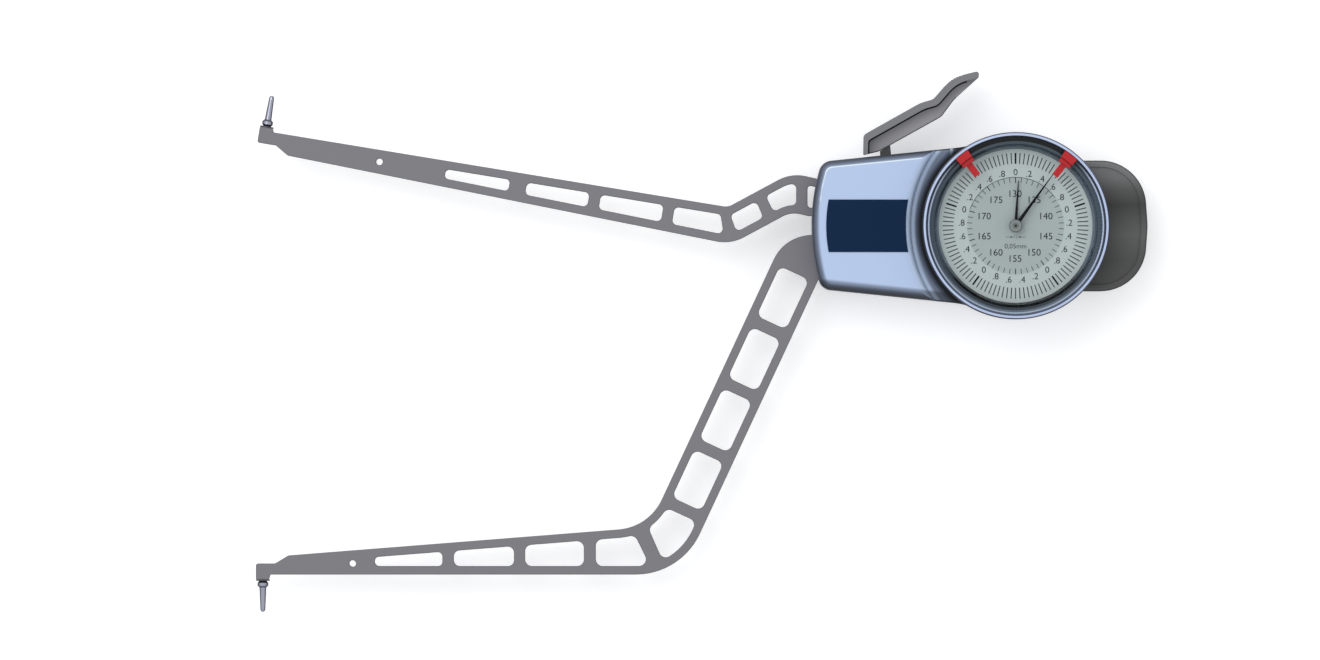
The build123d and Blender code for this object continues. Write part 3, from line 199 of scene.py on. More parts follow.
def merged_copy(node: str) -> Piece:
    """Copies a CAD node, joins its loose triangles at their shared corners and shades it smooth.

    Args:
        node: The CAD node.

    Returns:
        The new piece, named after the node, with normals weighted by area so that flat faces stay flat.
    """
    source = frame["nodes"][node].data
    points = points_of(source)
    source.calc_loop_triangles()
    corners = np.empty(len(source.loop_triangles) * 3, dtype=np.int32)
    source.loop_triangles.foreach_get("vertices", corners)
    keys = np.round(points / JOIN_DISTANCE).astype(np.int64)
    _, first, back = np.unique(keys, axis=0, return_index=True, return_inverse=True)
    faces = back.reshape(-1)[corners].reshape(-1, 3)
    whole = (faces != np.roll(faces, 1, axis=1)).all(axis=1)
    piece = mesh_object(node + "_dressed", points[first], faces[whole])
    shade(piece, SHARP_DEGREES)
    weighted = piece.modifiers.new("even_normals", "WEIGHTED_NORMAL")
    weighted.keep_sharp = True
    weighted.weight = AREA_WEIGHT
    return piece


# Node tools

def srgb(colour: Colour) -> Linear:
    """Turns 0 to 255 parts into linear ones: c/12.92 up to 0.04045, else ((c + 0.055) / 1.055) ^ 2.4."""
    parts = np.array(colour) / 255.0
    return *np.where(parts <= 0.04045, parts / 12.92, ((parts + 0.055) / 1.055) ** 2.4).tolist(), 1.0


class Nodes:
    """Short way to place and join the nodes of one material, world or group."""

    # Sockets of a Mix node for colours: its factor, its two colours, and the mixed colour
    MIX_INPUTS = (0, 6, 7)
    MIX_OUTPUT = 2
    NOISE_MEAN = 0.5

    def __init__(self, tree: Tree) -> None:
        """Keeps the tree that the nodes go into."""
        self.tree = tree

    @classmethod
    def fresh(cls, owner: bpy.types.Material | bpy.types.World) -> "Nodes":
        """Empties a node tree for new nodes.

        Args:
            owner: The material or world.

        Returns:
            Its nodes.
        """
        owner.use_nodes = True
        owner.node_tree.nodes.clear()
        return cls(owner.node_tree)

    def fill(self, node: Node, inputs: Inputs) -> None:
        """Links a node's inputs to sockets, or writes values on them.

        Args:
            node: The node.
            inputs: Values or sockets, by input name or number.
        """
        for key, value in inputs.items():
            if isinstance(value, Socket):
                self.tree.links.new(value, node.inputs[key])
            else:
                node.inputs[key].default_value = value

    def add(self, kind: str, inputs: Inputs | None = None, **settings: object) -> Node:
        """Adds a node, sets its properties and fills its inputs with values or links.

        Args:
            kind: Node type.
            inputs: Values or sockets, by input name or number.
            **settings: Properties of the node.

        Returns:
            The new node.
        """
        node = self.tree.nodes.new(kind)
        for key, value in settings.items():
            setattr(node, key, value)
        self.fill(node, inputs or {})
        return node

    def effect(self, tree: Tree, **inputs: object) -> Sockets:
        """Places a shared effect with this material's own values, and returns its outputs."""
        return self.add("ShaderNodeGroup", inputs, node_tree=tree).outputs

    def math(self, operation: str, *values: object) -> Socket:
        """Adds a Math node and returns its value."""
        return self.add("ShaderNodeMath", dict(enumerate(values)), operation=operation).outputs[0]

    def product(self, *values: object) -> Socket:
        """Multiplies two or more values."""
        return reduce(lambda first, second: self.math("MULTIPLY", first, second), values)

    def largest(self, *values: object) -> Socket:
        """Takes the largest of two or more values."""
        return reduce(lambda first, second: self.math("MAXIMUM", first, second), values)

    def ramp(self, value: object, low: object, high: object, smooth: bool = True) -> Socket:
        """Maps a value between two limits to 0 to 1, softly where asked."""
        node = self.add("ShaderNodeMapRange", {"Value": value, "From Min": low, "From Max": high},
                        interpolation_type="SMOOTHSTEP" if smooth else "LINEAR", clamp=True)
        return node.outputs["Result"]

    def mix(self, factor: object, first: object, second: object, blend: str = "MIX") -> Socket:
        """Mixes two colours."""
        inputs = dict(zip(self.MIX_INPUTS, (factor, first, second)))
        return self.add("ShaderNodeMix", inputs, data_type="RGBA", blend_type=blend).outputs[self.MIX_OUTPUT]

    def shades(self, value: object, stops: Stops) -> Socket:
        """Turns a value into a colour by a list of stops.

        Args:
            value: The value.
            stops: Values and their colours in 0 to 255 parts, rising.

        Returns:
            The colour.
        """
        low, high = stops[0][0], stops[-1][0]
        node = self.add("ShaderNodeValToRGB", {"Fac": self.ramp(value, low, high, smooth=False)})
        elements = node.color_ramp.elements
        while len(elements) < len(stops):
            elements.new(0.5)
        for element, (place, colour) in zip(elements, stops):
            element.position = (place - low) / (high - low)
            element.color = srgb(colour)
        return node.outputs["Color"]

    def split(self, vector: Socket) -> list[Socket]:
        """Gives the X, Y and Z of a vector."""
        return list(self.add("ShaderNodeSeparateXYZ", {0: vector}).outputs)

    def place(self) -> Socket:
        """Place on the piece as a vector, in metres."""
        return self.add("ShaderNodeTexCoord").outputs["Object"]

    def place_parts(self) -> list[Socket]:
        """X, Y and Z on the piece, in millimetres."""
        scaled = self.add("ShaderNodeVectorMath", {0: self.place(), "Scale": 1.0 / MM}, operation="SCALE")
        return self.split(scaled.outputs[0])

    def normal_parts(self) -> list[Socket]:
        """X, Y and Z of the direction that the surface looks in."""
        return self.split(self.add("ShaderNodeTexCoord").outputs["Normal"])

    def reach(self, x: Socket, y: Socket) -> Socket:
        """Square root of x squared plus y squared."""
        return self.math("SQRT", self.math("MULTIPLY_ADD", x, x, self.math("MULTIPLY", y, y)))

    def noise(self, scale: object, detail: float = 2.0, place: Socket | None = None) -> Socket:
        """Noise over the piece, by its place in metres or by another vector."""
        inputs = {"Vector": place or self.place(), "Scale": scale, "Detail": detail}
        return self.add("ShaderNodeTexNoise", inputs).outputs[0]

    def swing(self, middle: object, noise: Socket, amount: object) -> Socket:
        """Lets a value wander about its middle: middle + (noise - its mean) x amount."""
        return self.math("MULTIPLY_ADD", self.math("SUBTRACT", noise, self.NOISE_MEAN), amount, middle)

    def brighten(self, colour: object, factor: Socket) -> Socket:
        """Multiplies a colour's brightness."""
        return self.add("ShaderNodeHueSaturation", {"Color": colour, "Value": factor}).outputs["Color"]


class Kind(Enum):
    """Kinds of socket that a node group has."""

    COLOUR = "NodeSocketColor"
    NUMBER = "NodeSocketFloat"
    VECTOR = "NodeSocketVector"


class Effects:
    """Shader node groups that several finishes share, each built once."""

    MID_GREY = (Kind.COLOUR, (0.5, 0.5, 0.5, 1.0))
    TONE_DETAIL = 3.0
    WANDER_SCALE = 45.0

    @staticmethod
    def group(name: str, inputs: dict[str, tuple[Kind, object]],
              outputs: dict[str, Kind]) -> tuple[Nodes, Sockets]:
        """Starts a node group with named sockets.

        Args:
            name: Name of the group.
            inputs: Kind and first value of each input, by name.
            outputs: Kind of each output, by name.

        Returns:
            The group's nodes, and the sockets that bring its inputs.
        """
        tree = bpy.data.node_groups.new(name, "ShaderNodeTree")
        for label, (kind, value) in inputs.items():
            socket = tree.interface.new_socket(name=label, in_out="INPUT", socket_type=kind.value)
            socket.default_value = value
        for label, kind in outputs.items():
            tree.interface.new_socket(name=label, in_out="OUTPUT", socket_type=kind.value)
        n = Nodes(tree)
        return n, n.add("NodeGroupInput").outputs

    @classmethod
    @cache
    def tone(cls) -> Tree:
        """Group that varies a colour's brightness slowly over the piece, by a noise of a given scale."""
        inputs = {"Colour": cls.MID_GREY, "Amount": (Kind.NUMBER, 0.05), "Scale": (Kind.NUMBER, 60.0)}
        n, given = cls.group("tone", inputs, {"Colour": Kind.COLOUR})
        swing = n.swing(1.0, n.noise(given["Scale"], cls.TONE_DETAIL), given["Amount"])
        n.add("NodeGroupOutput", {"Colour": n.brighten(given["Colour"], swing)})
        return n.tree

    @classmethod
    @cache
    def grain(cls) -> Tree:
        """Group with a fine grain: a roughness that wanders and a height for a bump."""
        inputs = {"Scale": (Kind.NUMBER, 1500.0), "Roughness": (Kind.NUMBER, 0.4),
                  "Wander": (Kind.NUMBER, 0.08)}
        n, given = cls.group("grain", inputs, {"Roughness": Kind.NUMBER, "Height": Kind.NUMBER})
        rough = n.swing(given["Roughness"], n.noise(cls.WANDER_SCALE), given["Wander"])
        n.add("NodeGroupOutput", {"Roughness": rough, "Height": n.noise(given["Scale"])})
        return n.tree

    @classmethod
    @cache
    def brushed(cls) -> Tree:
        """Group with tool marks: noise that is stretched along one direction, as a tone and a height."""
        inputs = {"Colour": cls.MID_GREY, "Density": (Kind.VECTOR, (300.0, 6000.0, 6000.0)),
                  "Amount": (Kind.NUMBER, 0.2)}
        n, given = cls.group("brushed", inputs, {"Colour": Kind.COLOUR, "Height": Kind.NUMBER})
        stretched = n.add("ShaderNodeVectorMath", {0: n.place(), 1: given["Density"]}, operation="MULTIPLY")
        marks = n.noise(1.0, place=stretched.outputs[0])
        colour = n.brighten(given["Colour"], n.swing(1.0, marks, given["Amount"]))
        n.add("NodeGroupOutput", {"Colour": colour, "Height": marks})
        return n.tree

    @classmethod
    @cache
    def turned_edge(cls) -> Tree:
        """Group with a mask for painted edge shade: 0 on up or down faces, 1 where a surface turns away."""
        inputs = {"Start": (Kind.NUMBER, 0.97), "End": (Kind.NUMBER, 0.6)}
        n, given = cls.group("turned_edge", inputs, {"Mask": Kind.NUMBER})
        height = n.math("ABSOLUTE", n.normal_parts()[2])
        n.add("NodeGroupOutput", {"Mask": n.ramp(height, given["Start"], given["End"])})
        return n.tree


# Finishes

class Grain(Enum):
    """Sizes of the fine grain, as noise per metre."""

    SPRAYED = 2600.0
    MOULDED = 1500.0
    CAST = 700.0


class Axis(Enum):
    """Axes of the object, by their number among the parts of a place."""

    Y = 1
    Z = 2


@dataclass(frozen=True)
class Finish:
    """A plain painted, moulded or rubber surface: slow tone, fine grain, painted shade on turned edges.

    The colour is one colour, or stops where a kind of finish changes over the piece. The edge colour is
    painted shade where the surface turns away; its span is the height of the normal at which it starts,
    and at which it is full.
    """

    name: str
    colour: Colour | Stops
    edge: Colour | None = None
    edge_span: Span = (0.97, 0.55)
    roughness: float = 0.45
    metallic: float = 0.0
    specular: float = 0.5
    grain: Grain = Grain.SPRAYED
    bump: float = 0.04
    bump_depth: float = 0.0002
    tone: float = 0.05
    tone_scale: float = 60.0

    def paint(self, n: Nodes) -> object:
        """The colour over the surface, without its painted edge shade and tone."""
        return srgb(self.colour)

    def toned(self, n: Nodes) -> Socket:
        """Adds the painted shade of the turned edges and the slow change of tone to the colour.

        Args:
            n: Nodes of the material.

        Returns:
            The colour.
        """
        colour = self.paint(n)
        # The edge colour is painted shade where the surface turns away.
        if self.edge is not None:
            start, end = self.edge_span
            mask = n.effect(Effects.turned_edge(), Start=start, End=end)["Mask"]
            colour = n.mix(mask, colour, srgb(self.edge))
        return n.effect(Effects.tone(), Colour=colour, Amount=self.tone, Scale=self.tone_scale)["Colour"]

    def relief(self, n: Nodes, grain: Socket) -> tuple[Socket, Socket]:
        """The finished colour, and the height for its bump, which is the fine grain's."""
        return self.toned(n), grain

    def dress(self, n: Nodes, shader: Node) -> None:
        """Joins the colour, grain and bump to the shader.

        Args:
            n: Nodes of the material.
            shader: Its Principled shader.
        """
        grain = n.effect(Effects.grain(), Scale=self.grain.value, Roughness=self.roughness)
        colour, height = self.relief(n, grain["Height"])
        relief = {"Height": height, "Strength": self.bump, "Distance": self.bump_depth}
        bump = n.add("ShaderNodeBump", relief)
        n.fill(shader, {"Base Color": colour, "Roughness": grain["Roughness"], "Normal": bump.outputs[0],
                        "Metallic": self.metallic, "Specular IOR Level": self.specular})

    @cache
    def build(self) -> bpy.types.Material:
        """Makes the material, once."""
        material = bpy.data.materials.new(self.name + "_finish")
        n = Nodes.fresh(material)
        shader = n.add("ShaderNodeBsdfPrincipled")
        self.dress(n, shader)
        n.add("ShaderNodeOutputMaterial", {"Surface": shader.outputs[0]})
        return material


@dataclass(frozen=True)
class InkFinish(Finish):
    """Matt ink, or the paint of a thin dark line."""

    roughness: float = 0.6
    specular: float = 0.1
    tone: float = 0.1


@dataclass(frozen=True)
class MetalFinish(Finish):
    """Bare metal with fine tool marks."""

    density: Point = (400.0, 5000.0, 5000.0)
    marks: float = 0.25
    metallic: float = 1.0
    roughness: float = 0.3
    bump_depth: float = 0.0001

    def relief(self, n: Nodes, grain: Socket) -> tuple[Socket, Socket]:
        """The colour with its tool marks, and their height in place of the grain's."""
        marks = n.effect(Effects.brushed(), Colour=self.toned(n), Density=self.density, Amount=self.marks)
        return marks["Colour"], marks["Height"]


@dataclass(frozen=True)
class HousingFinish(Finish):
    """Light blue enamel on the front face, which turns to slate blue at its edges and beside the bezel as
    painted shade, with painted highlights on its rounded edges and painted slate shade on its walls.

    A span is the value at which a change starts, and at which it is full: a distance in millimetres for the
    hollow, the lip's edge and the step, and a part of the normal for the others.
    """

    # slate: painted shade on the enamel past the hollow, towards the bezel
    slate: Colour = (118, 130, 152)
    # painted highlight of the pale band inside the rounded edge and of the pale line by the round case
    gleam: Colour = (232, 246, 255)
    # lip: painted light on the slope into the hollow, which turns away from the lamp
    lip: Colour = (206, 226, 255)
    # rim: painted shade on lower surfaces that turn away
    rim: Colour = (54, 60, 71)
    # wall: painted slate shade on the side walls
    wall: Colour = (104, 116, 140)
    # painted shade that darkens the rounded edge as its normal turns away from up
    rounding: Stops = (
        (0.0, (70, 78, 94)), (0.3, (50, 56, 66)), (0.55, (64, 71, 82)), (0.75, (88, 96, 112)),
        (0.87, (104, 114, 134)), (0.94, (122, 135, 160)), (0.975, (150, 166, 194)),
        (0.994, (174, 190, 222)), (1.0, (186, 205, 238)))
    # painted shade that darkens the enamel from 35.3 mm in towards the bezel, black at 32.9 mm
    bezel_shade: Stops = (
        (32.9, (14, 17, 22)), (33.4, (60, 64, 70)), (33.9, (128, 132, 140)), (34.6, (196, 200, 206)),
        (35.3, (255, 255, 255)))
    # painted shade along the lower border, by y plus the slope times x
    foot_shade: Stops = (
        (-28.5, (166, 166, 166)), (-26.3, (172, 172, 172)), (-25.9, (196, 196, 196)),
        (-25.5, (232, 232, 232)), (-25.1, (255, 255, 255)))
    foot_slope: float = 0.1033
    hollow_place: float = 7.0
    hollow_edge: Span = (43.1, 41.5)
    lip_edge: Span = (45.4, 44.0)
    lip_side: Span = (0.05, 0.5)
    # spans of the painted highlight band just inside the rounded edge
    streak_out: Span = (0.9998, 0.993)
    streak_in: Span = (0.965, 0.985)
    streak_side: Span = (0.0, 0.05)
    inward_side: Span = (0.0, 0.05)
    flat_height: Span = (0.9999, 1.0)
    rim_out: Span = (0.97, 0.6)
    rim_in: Span = (0.0, 0.25)
    wall_height: Span = (0.3, 0.08)
    step_level: Span = (21.3, 21.05)
    # place, start, fade, width and strength of the pale line, a painted highlight by the round case
    seam_place: float = -22.2
    seam_start: float = 23.6
    seam_fade: float = 0.8
    seam_width: float = 0.35
    seam_strength: float = 0.7

    def paint(self, n: Nodes) -> Socket:
        """Colour by the normal where the face rounds off outwards, else by the distance from the hollow.

        The light blue is the enamel's colour; the rest is painted light and shade. The hollow's centre is
        a point right of the dial's axis, so that its edge is the arc that ends the light face; past it the
        enamel is painted slate shade, and its lip is painted lighter. The distance from the dial's axis
        darkens the enamel towards the bezel as painted shade, and the line along the foot of the block
        darkens it again as painted shade. Rounded edges darken as painted shade, with a painted highlight
        just inside them, and the walls are painted slate shade.

        Args:
            n: Nodes of the material.

        Returns:
            The colour.
        """
        x, y, z = n.place_parts()
        side, rise, height = n.normal_parts()
        distance = n.reach(n.math("SUBTRACT", x, self.hollow_place), y)
        hollow = n.ramp(distance, *self.hollow_edge)
        # painted light: the slope into the hollow, which turns away from the lamp, is painted lighter
        lip = n.largest(n.ramp(side, *self.lip_side), n.ramp(distance, *self.lip_edge))
        # past the hollow the enamel is painted slate shade
        flat = n.mix(hollow, n.mix(lip, srgb(self.colour), srgb(self.lip)), srgb(self.slate))
        # painted highlight: a pale band just inside the rounded edge where it leans towards +Y
        painted_streak = n.product(n.ramp(height, *self.streak_out), n.ramp(height, *self.streak_in),
                           n.ramp(rise, *self.streak_side))
        # the rounded edge darkens as painted shade as it turns away
        rounded = n.mix(painted_streak, n.shades(height, self.rounding), srgb(self.gleam))
        inward = n.largest(n.ramp(side, *self.inward_side), n.ramp(height, *self.flat_height), hollow)
        raised = n.mix(inward, rounded, flat)
        # painted shade on lower surfaces that turn away, and the pale line as painted highlight
        rim = n.product(n.ramp(height, *self.rim_out), n.ramp(height, *self.rim_in))
        lower = n.mix(self.seam(n, x, y), n.mix(rim, flat, srgb(self.rim)), srgb(self.gleam))
        colour = n.mix(n.ramp(z, *self.step_level), raised, lower)
        # painted shade towards the bezel, and again along the foot of the block
        colour = n.mix(1.0, colour, n.shades(n.reach(x, y), self.bezel_shade), "MULTIPLY")
        foot = n.math("MULTIPLY_ADD", x, self.foot_slope, y)
        colour = n.mix(1.0, colour, n.shades(foot, self.foot_shade), "MULTIPLY")
        # painted slate shade on the side walls
        return n.mix(n.ramp(height, *self.wall_height), colour, srgb(self.wall))

    def seam(self, n: Nodes, x: Socket, y: Socket) -> Socket:
        """Mask of the painted highlight: a short pale line where the block meets the round case.

        Args:
            n: Nodes of the material.
            x: X on the piece in millimetres.
            y: Y on the piece in millimetres.

        Returns:
            Full within a width of the line's place and above its start, and 0 two widths away.
        """
        aside = n.math("ABSOLUTE", n.math("SUBTRACT", x, self.seam_place))
        across = n.ramp(aside, 2 * self.seam_width, self.seam_width)
        above = n.ramp(y, self.seam_start, self.seam_start + self.seam_fade)
        return n.product(across, above, self.seam_strength)


@dataclass(frozen=True, kw_only=True)
class RingFinish(Finish):
    """Enamel of a turned ring with painted light and shade that changes from its upper to its lower side."""

    # upper, lower: painted light and shade on the ring's upper and lower sides
    upper: Colour
    lower: Colour
    upper_span: Span = (0.1, 0.95)
    lower_span: Span = (-0.2, -0.85)
    roughness: float = 0.4
    specular: float = 0.25
    tone: float = 0.04

    def paint(self, n: Nodes) -> Socket:
        """Colour by the sine of the angle round the dial's axis, y / sqrt(x squared + y squared).

        The upper and lower colours are painted light and shade, as if light fell from above.

        Args:
            n: Nodes of the material.

        Returns:
            The colour.
        """
        x, y, _ = n.place_parts()
        sine = n.math("DIVIDE", y, n.reach(x, y))
        colour = n.mix(n.ramp(sine, *self.upper_span), srgb(self.colour), srgb(self.upper))
        return n.mix(n.ramp(sine, *self.lower_span), colour, srgb(self.lower))


@dataclass(frozen=True)
class DiscFinish(Finish):
    """Finish of a disc on the dial's axis, with stops of colour by the distance from the axis."""

    def paint(self, n: Nodes) -> Socket:
        """Colour by the distance from the axis, sqrt(x squared + y squared), in millimetres."""
        x, y, _ = n.place_parts()
        return n.shades(n.reach(x, y), self.colour)


@dataclass(frozen=True)
class BandedFinish(Finish):
    """Finish with stops of colour along one axis of the object."""

    axis: Axis = Axis.Y

    def paint(self, n: Nodes) -> Socket:
        """Colour by the place along the axis, in millimetres."""
        return n.shades(n.place_parts()[self.axis.value], self.colour)


@dataclass(frozen=True)
class GlassFinish(Finish):
    """Clear flat glass."""

    alpha: float = 0.04
    specular: float = 0.4
    wander: float = 0.01

    def dress(self, n: Nodes, shader: Node) -> None:
        """Sets a thin clear sheet, mostly see-through, with a clear gloss.

        Args:
            n: Nodes of the material.
            shader: Its Principled shader.
        """
        grain = n.effect(Effects.grain(), Roughness=self.roughness, Wander=self.wander)
        n.fill(shader, {"Base Color": self.toned(n), "Roughness": grain["Roughness"], "Alpha": self.alpha,
                        "Specular IOR Level": self.specular})


# Where a finish has an edge colour, that colour is painted shade on its turned edges.
HOUSING_ENAMEL = HousingFinish("housing_enamel", (186, 205, 238), roughness=0.42, specular=0.3, tone=0.02)
REAR_ENAMEL = Finish("rear_enamel", (92, 102, 122), edge=(66, 74, 92), roughness=0.42, specular=0.3)
ARM_GREY = Finish("arm_grey", (127, 126, 131), edge=(96, 95, 100), edge_span=(0.9, 0.2), roughness=0.5,
                  specular=0.2, bump=0.06, tone=0.04)
# The lever's colour by height is painted light and shade: the web's top is painted lighter where the cap
# shades it, and the cap's walls are dark as painted shade.
LEVER_GREY = BandedFinish(
    "lever_grey", ((8.0, (120, 119, 124)), (16.9, (172, 171, 176)), (17.6, (70, 70, 74)),
                   (19.5, (74, 74, 78)), (21.2, (127, 127, 130))),
    axis=Axis.Z, edge=(78, 78, 83), edge_span=(0.9, 0.2), roughness=0.5, specular=0.2, grain=Grain.CAST,
    bump=0.08, tone=0.06)
# Painted shade: a grey line along the lever web's outer edge; painted shadow: a dark line where its cap
# rises.
EDGE_SHADE_GREY = InkFinish("edge_shade_grey", (88, 88, 93))
CAP_SHADOW_DARK = InkFinish("cap_shadow_dark", (38, 38, 42))
NAVY_PLATE = Finish("navy_plate", (4, 36, 68), roughness=0.35, specular=0.12)
# The palm rest's bands along Y are painted reflections and shade of its curved back.
PALM_GRIP = BandedFinish(
    "palm_grip", ((-20.0, (88, 88, 88)), (-12.0, (84, 84, 84)), (-3.1, (98, 98, 98)), (2.1, (86, 86, 86)),
                  (7.3, (68, 68, 68)), (12.6, (90, 90, 90)), (17.0, (116, 116, 117)),
                  (21.0, (122, 122, 124))),
    edge=(40, 40, 42), edge_span=(0.93, 0.45), roughness=0.5, specular=0.2, grain=Grain.MOULDED, bump=0.1)
DARK_RUBBER = Finish("dark_rubber", (84, 85, 84), edge=(62, 62, 62), roughness=0.75, specular=0.15,
                     grain=Grain.CAST, bump=0.15, tone=0.15)
PIN_STEEL = MetalFinish("pin_steel", (178, 180, 196), edge=(92, 93, 106), edge_span=(0.95, 0.6),
                        roughness=0.24, bump=0.05)
DARK_STEEL = MetalFinish("dark_steel", (92, 92, 98), roughness=0.35)
SCREW_STEEL = MetalFinish("screw_steel", (178, 178, 182), roughness=0.32)
SHEET_STEEL = MetalFinish("sheet_steel", (190, 190, 194), roughness=0.38)
BRASS = MetalFinish("cut_brass", (214, 178, 104))
ARBOR_STEEL = MetalFinish("arbor_steel", (196, 196, 200), roughness=0.22)
POINTER_BLACK = InkFinish("pointer_black", (10, 11, 12))
# The hub cap's colour by radius: a dark centre dot, and painted shade that darkens it from 1.95 mm out to its
# edge.
HUB_GREY = DiscFinish(
    "hub_grey", ((0.0, (24, 28, 28)), (0.32, (24, 28, 28)), (0.5, (104, 112, 110)), (1.3, (138, 146, 144)),
                 (1.95, (146, 154, 152)), (2.1, (70, 76, 76)), (2.2, (62, 68, 68))),
    specular=0.2)
DIAL_PAINT = DiscFinish(
    "dial_paint", ((0.0, (178, 190, 190)), (16.6, (184, 196, 196)), (17.2, (202, 215, 214)),
                   (24.0, (208, 220, 219)), (27.2, (210, 222, 221))),
    roughness=0.6, specular=0.1, tone=0.03, tone_scale=40.0)
PRINT_DARK = InkFinish("print_dark", (26, 30, 32))
PRINT_LINE = InkFinish("print_line", (64, 72, 74))
PRINT_GREY = InkFinish("print_grey", (98, 108, 109))
CLEAR_GLASS = GlassFinish("clear_glass", (60, 66, 74), roughness=0.03)
# The gasket's sides are painted shade: near black on its lower side, a little darker on its upper side.
GASKET_GREY = RingFinish("gasket_grey", (84, 98, 112), upper=(76, 92, 102), lower=(26, 32, 36),
                         lower_span=(-0.35, -0.8), roughness=0.6, specular=0.15, tone=0.05)
MARKER_RED = Finish("marker_red", (186, 34, 40), edge=(118, 22, 22), edge_span=(0.9, 0.3), roughness=0.3,
                    specular=0.3, tone=0.04)


class Band(Enum):
    """Bands of the bezel's profile, each with its finish, in the order of its materials."""

    # Dark slate where the crown and skirt turn away, as painted shade; lighter on the upper side as painted
    # light.
    OUTLINE = RingFinish("bezel_outline", (46, 54, 68), upper=(92, 101, 120), lower=(46, 52, 64))
    LIGHT = Finish("bezel_light", (190, 204, 236), roughness=0.35, specular=0.3, tone=0.03)
    # The lip's inner wall, dark as painted shade and near black on the upper side as painted shadow.
    LINE = RingFinish("bezel_line", (52, 62, 80), upper=(24, 28, 32), lower=(84, 97, 115))
    # The flat ring's light colour, with a painted shadow of the lip on the upper side.
    SECOND = RingFinish("bezel_second", (182, 196, 222), upper=(26, 29, 33), lower=(160, 174, 194),
                        upper_span=(0.45, 0.8), roughness=0.35)
    # Slate knurls, a little lighter above and darker below as painted light and shade.
    KNURLS = RingFinish("bezel_band", (66, 79, 92), upper=(76, 87, 97), lower=(50, 59, 67), tone=0.06)
    # The inner wall, near black on the lower side as painted shadow next to the dial.
    WALL = RingFinish("bezel_wall", (98, 113, 129), upper=(88, 105, 115), lower=(22, 28, 32),
                      lower_span=(-0.35, -0.8), tone=0.12, tone_scale=120.0)
    # The groove's outer edge, near black on the upper side as painted shadow, lighter below.
    EDGE = RingFinish("bezel_edge", (64, 76, 90), upper=(22, 25, 29), lower=(92, 104, 118),
                      upper_span=(0.45, 0.8), tone=0.06)


# Placing of pieces

Smooth = tuple[tuple[str, Finish, str], ...]
Plain = tuple[tuple[str, Finish], ...]


def dress_node(node: str, finish: Finish) -> None:
    """Gives a CAD node, which keeps its own mesh, a better finish.

    Args:
        node: The CAD node.
        finish: Its finish.
    """
    piece = frame["nodes"][node]
    if not piece.material_slots:
        piece.data.materials.append(None)
    for entry in piece.material_slots:
        entry.material = finish.build()
    log.info("%s: its own mesh in %s", node, finish.name)


def body_of(node: str) -> str:
    """Name of the body that a CAD node rides on."""
    return frame["nodes"][node]["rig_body"]


def place_piece(piece: Piece, finish: Finish | None, body: str, slot: str, *nodes: str) -> None:
    """Dresses a new piece, lets it ride on its body and takes the place of the CAD nodes that it stands for.

    Args:
        piece: The new piece.
        finish: Its finish, or None where it has its materials already.
        body: Body that it rides on.
        slot: The record's material slot; not used.
        *nodes: CAD nodes that it replaces.
    """
    if finish is not None:
        piece.data.materials.append(finish.build())
    if nodes:
        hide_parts(*nodes)
    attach(piece, body)
    log.info("%s: %d faces on %s", piece.name, len(piece.data.polygons), body)


# Sub-assemblies

@dataclass
class Assembly:
    """Sub-assembly of CAD nodes that a smooth copy replaces, and of nodes that keep their mesh."""

    smooth: Smooth = ()
    plain: Plain = ()

    def build(self) -> None:
        """Makes the smooth copies with their finish, and dresses the other nodes."""
        for node, finish, slot in self.smooth:
            place_piece(merged_copy(node), finish, body_of(node), slot, node)
        for node, finish in self.plain:
            dress_node(node, finish)


@dataclass
class Housing(Assembly):
    """Housing with its cover, bare plate, palm rest and boot."""

    smooth: Smooth = (
        ("housing_shell", HOUSING_ENAMEL, "housing_enamel"), ("rear_cover", REAR_ENAMEL, "rear_enamel"),
        ("palm_rest", PALM_GRIP, "palm_grip"), ("name_plate", NAVY_PLATE, "plate_navy"))
    plain: Plain = (
        ("rear_cover_gasket", DARK_RUBBER), ("arm_slot_wipers", DARK_RUBBER), ("pivot_bridge", SHEET_STEEL),
        ("pivot_bridge_screws", SCREW_STEEL), ("pivot_bushes", BRASS), ("stop_pins", PIN_STEEL),
        ("return_spring", DARK_STEEL), ("fixed_arm_screws", SCREW_STEEL), ("movement_bushes", BRASS),
        ("movement_rear_plate", BRASS), ("movement_front_plate", BRASS), ("movement_pillars", BRASS),
        ("pillar_screws", SCREW_STEEL), ("movement_screws", SCREW_STEEL))
    boot_foot: Point = (-45.2, 24.9, 15.0)
    boot_neck: Point = (-45.4, 26.6, 15.0)
    boot_cuts: int = 4

    def boot(self) -> None:
        """Rubber boot, finely divided, that takes the place of the CAD boot."""
        piece = merged_copy("lever_boot")
        shape = bmesh.new()
        shape.from_mesh(piece.data)
        bmesh.ops.subdivide_edges(shape, edges=shape.edges[:], cuts=self.boot_cuts, use_grid_fill=True)
        shape.to_mesh(piece.data)
        shape.free()
        piece.data.materials.append(DARK_RUBBER.build())
        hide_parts("lever_boot")
        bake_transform(piece)
        log.info("%s: %d faces between housing and moving_arm", piece.name, len(piece.data.polygons))

    def build(self) -> None:
        """Dresses the housing's nodes and makes the boot."""
        super().build()
        self.boot()


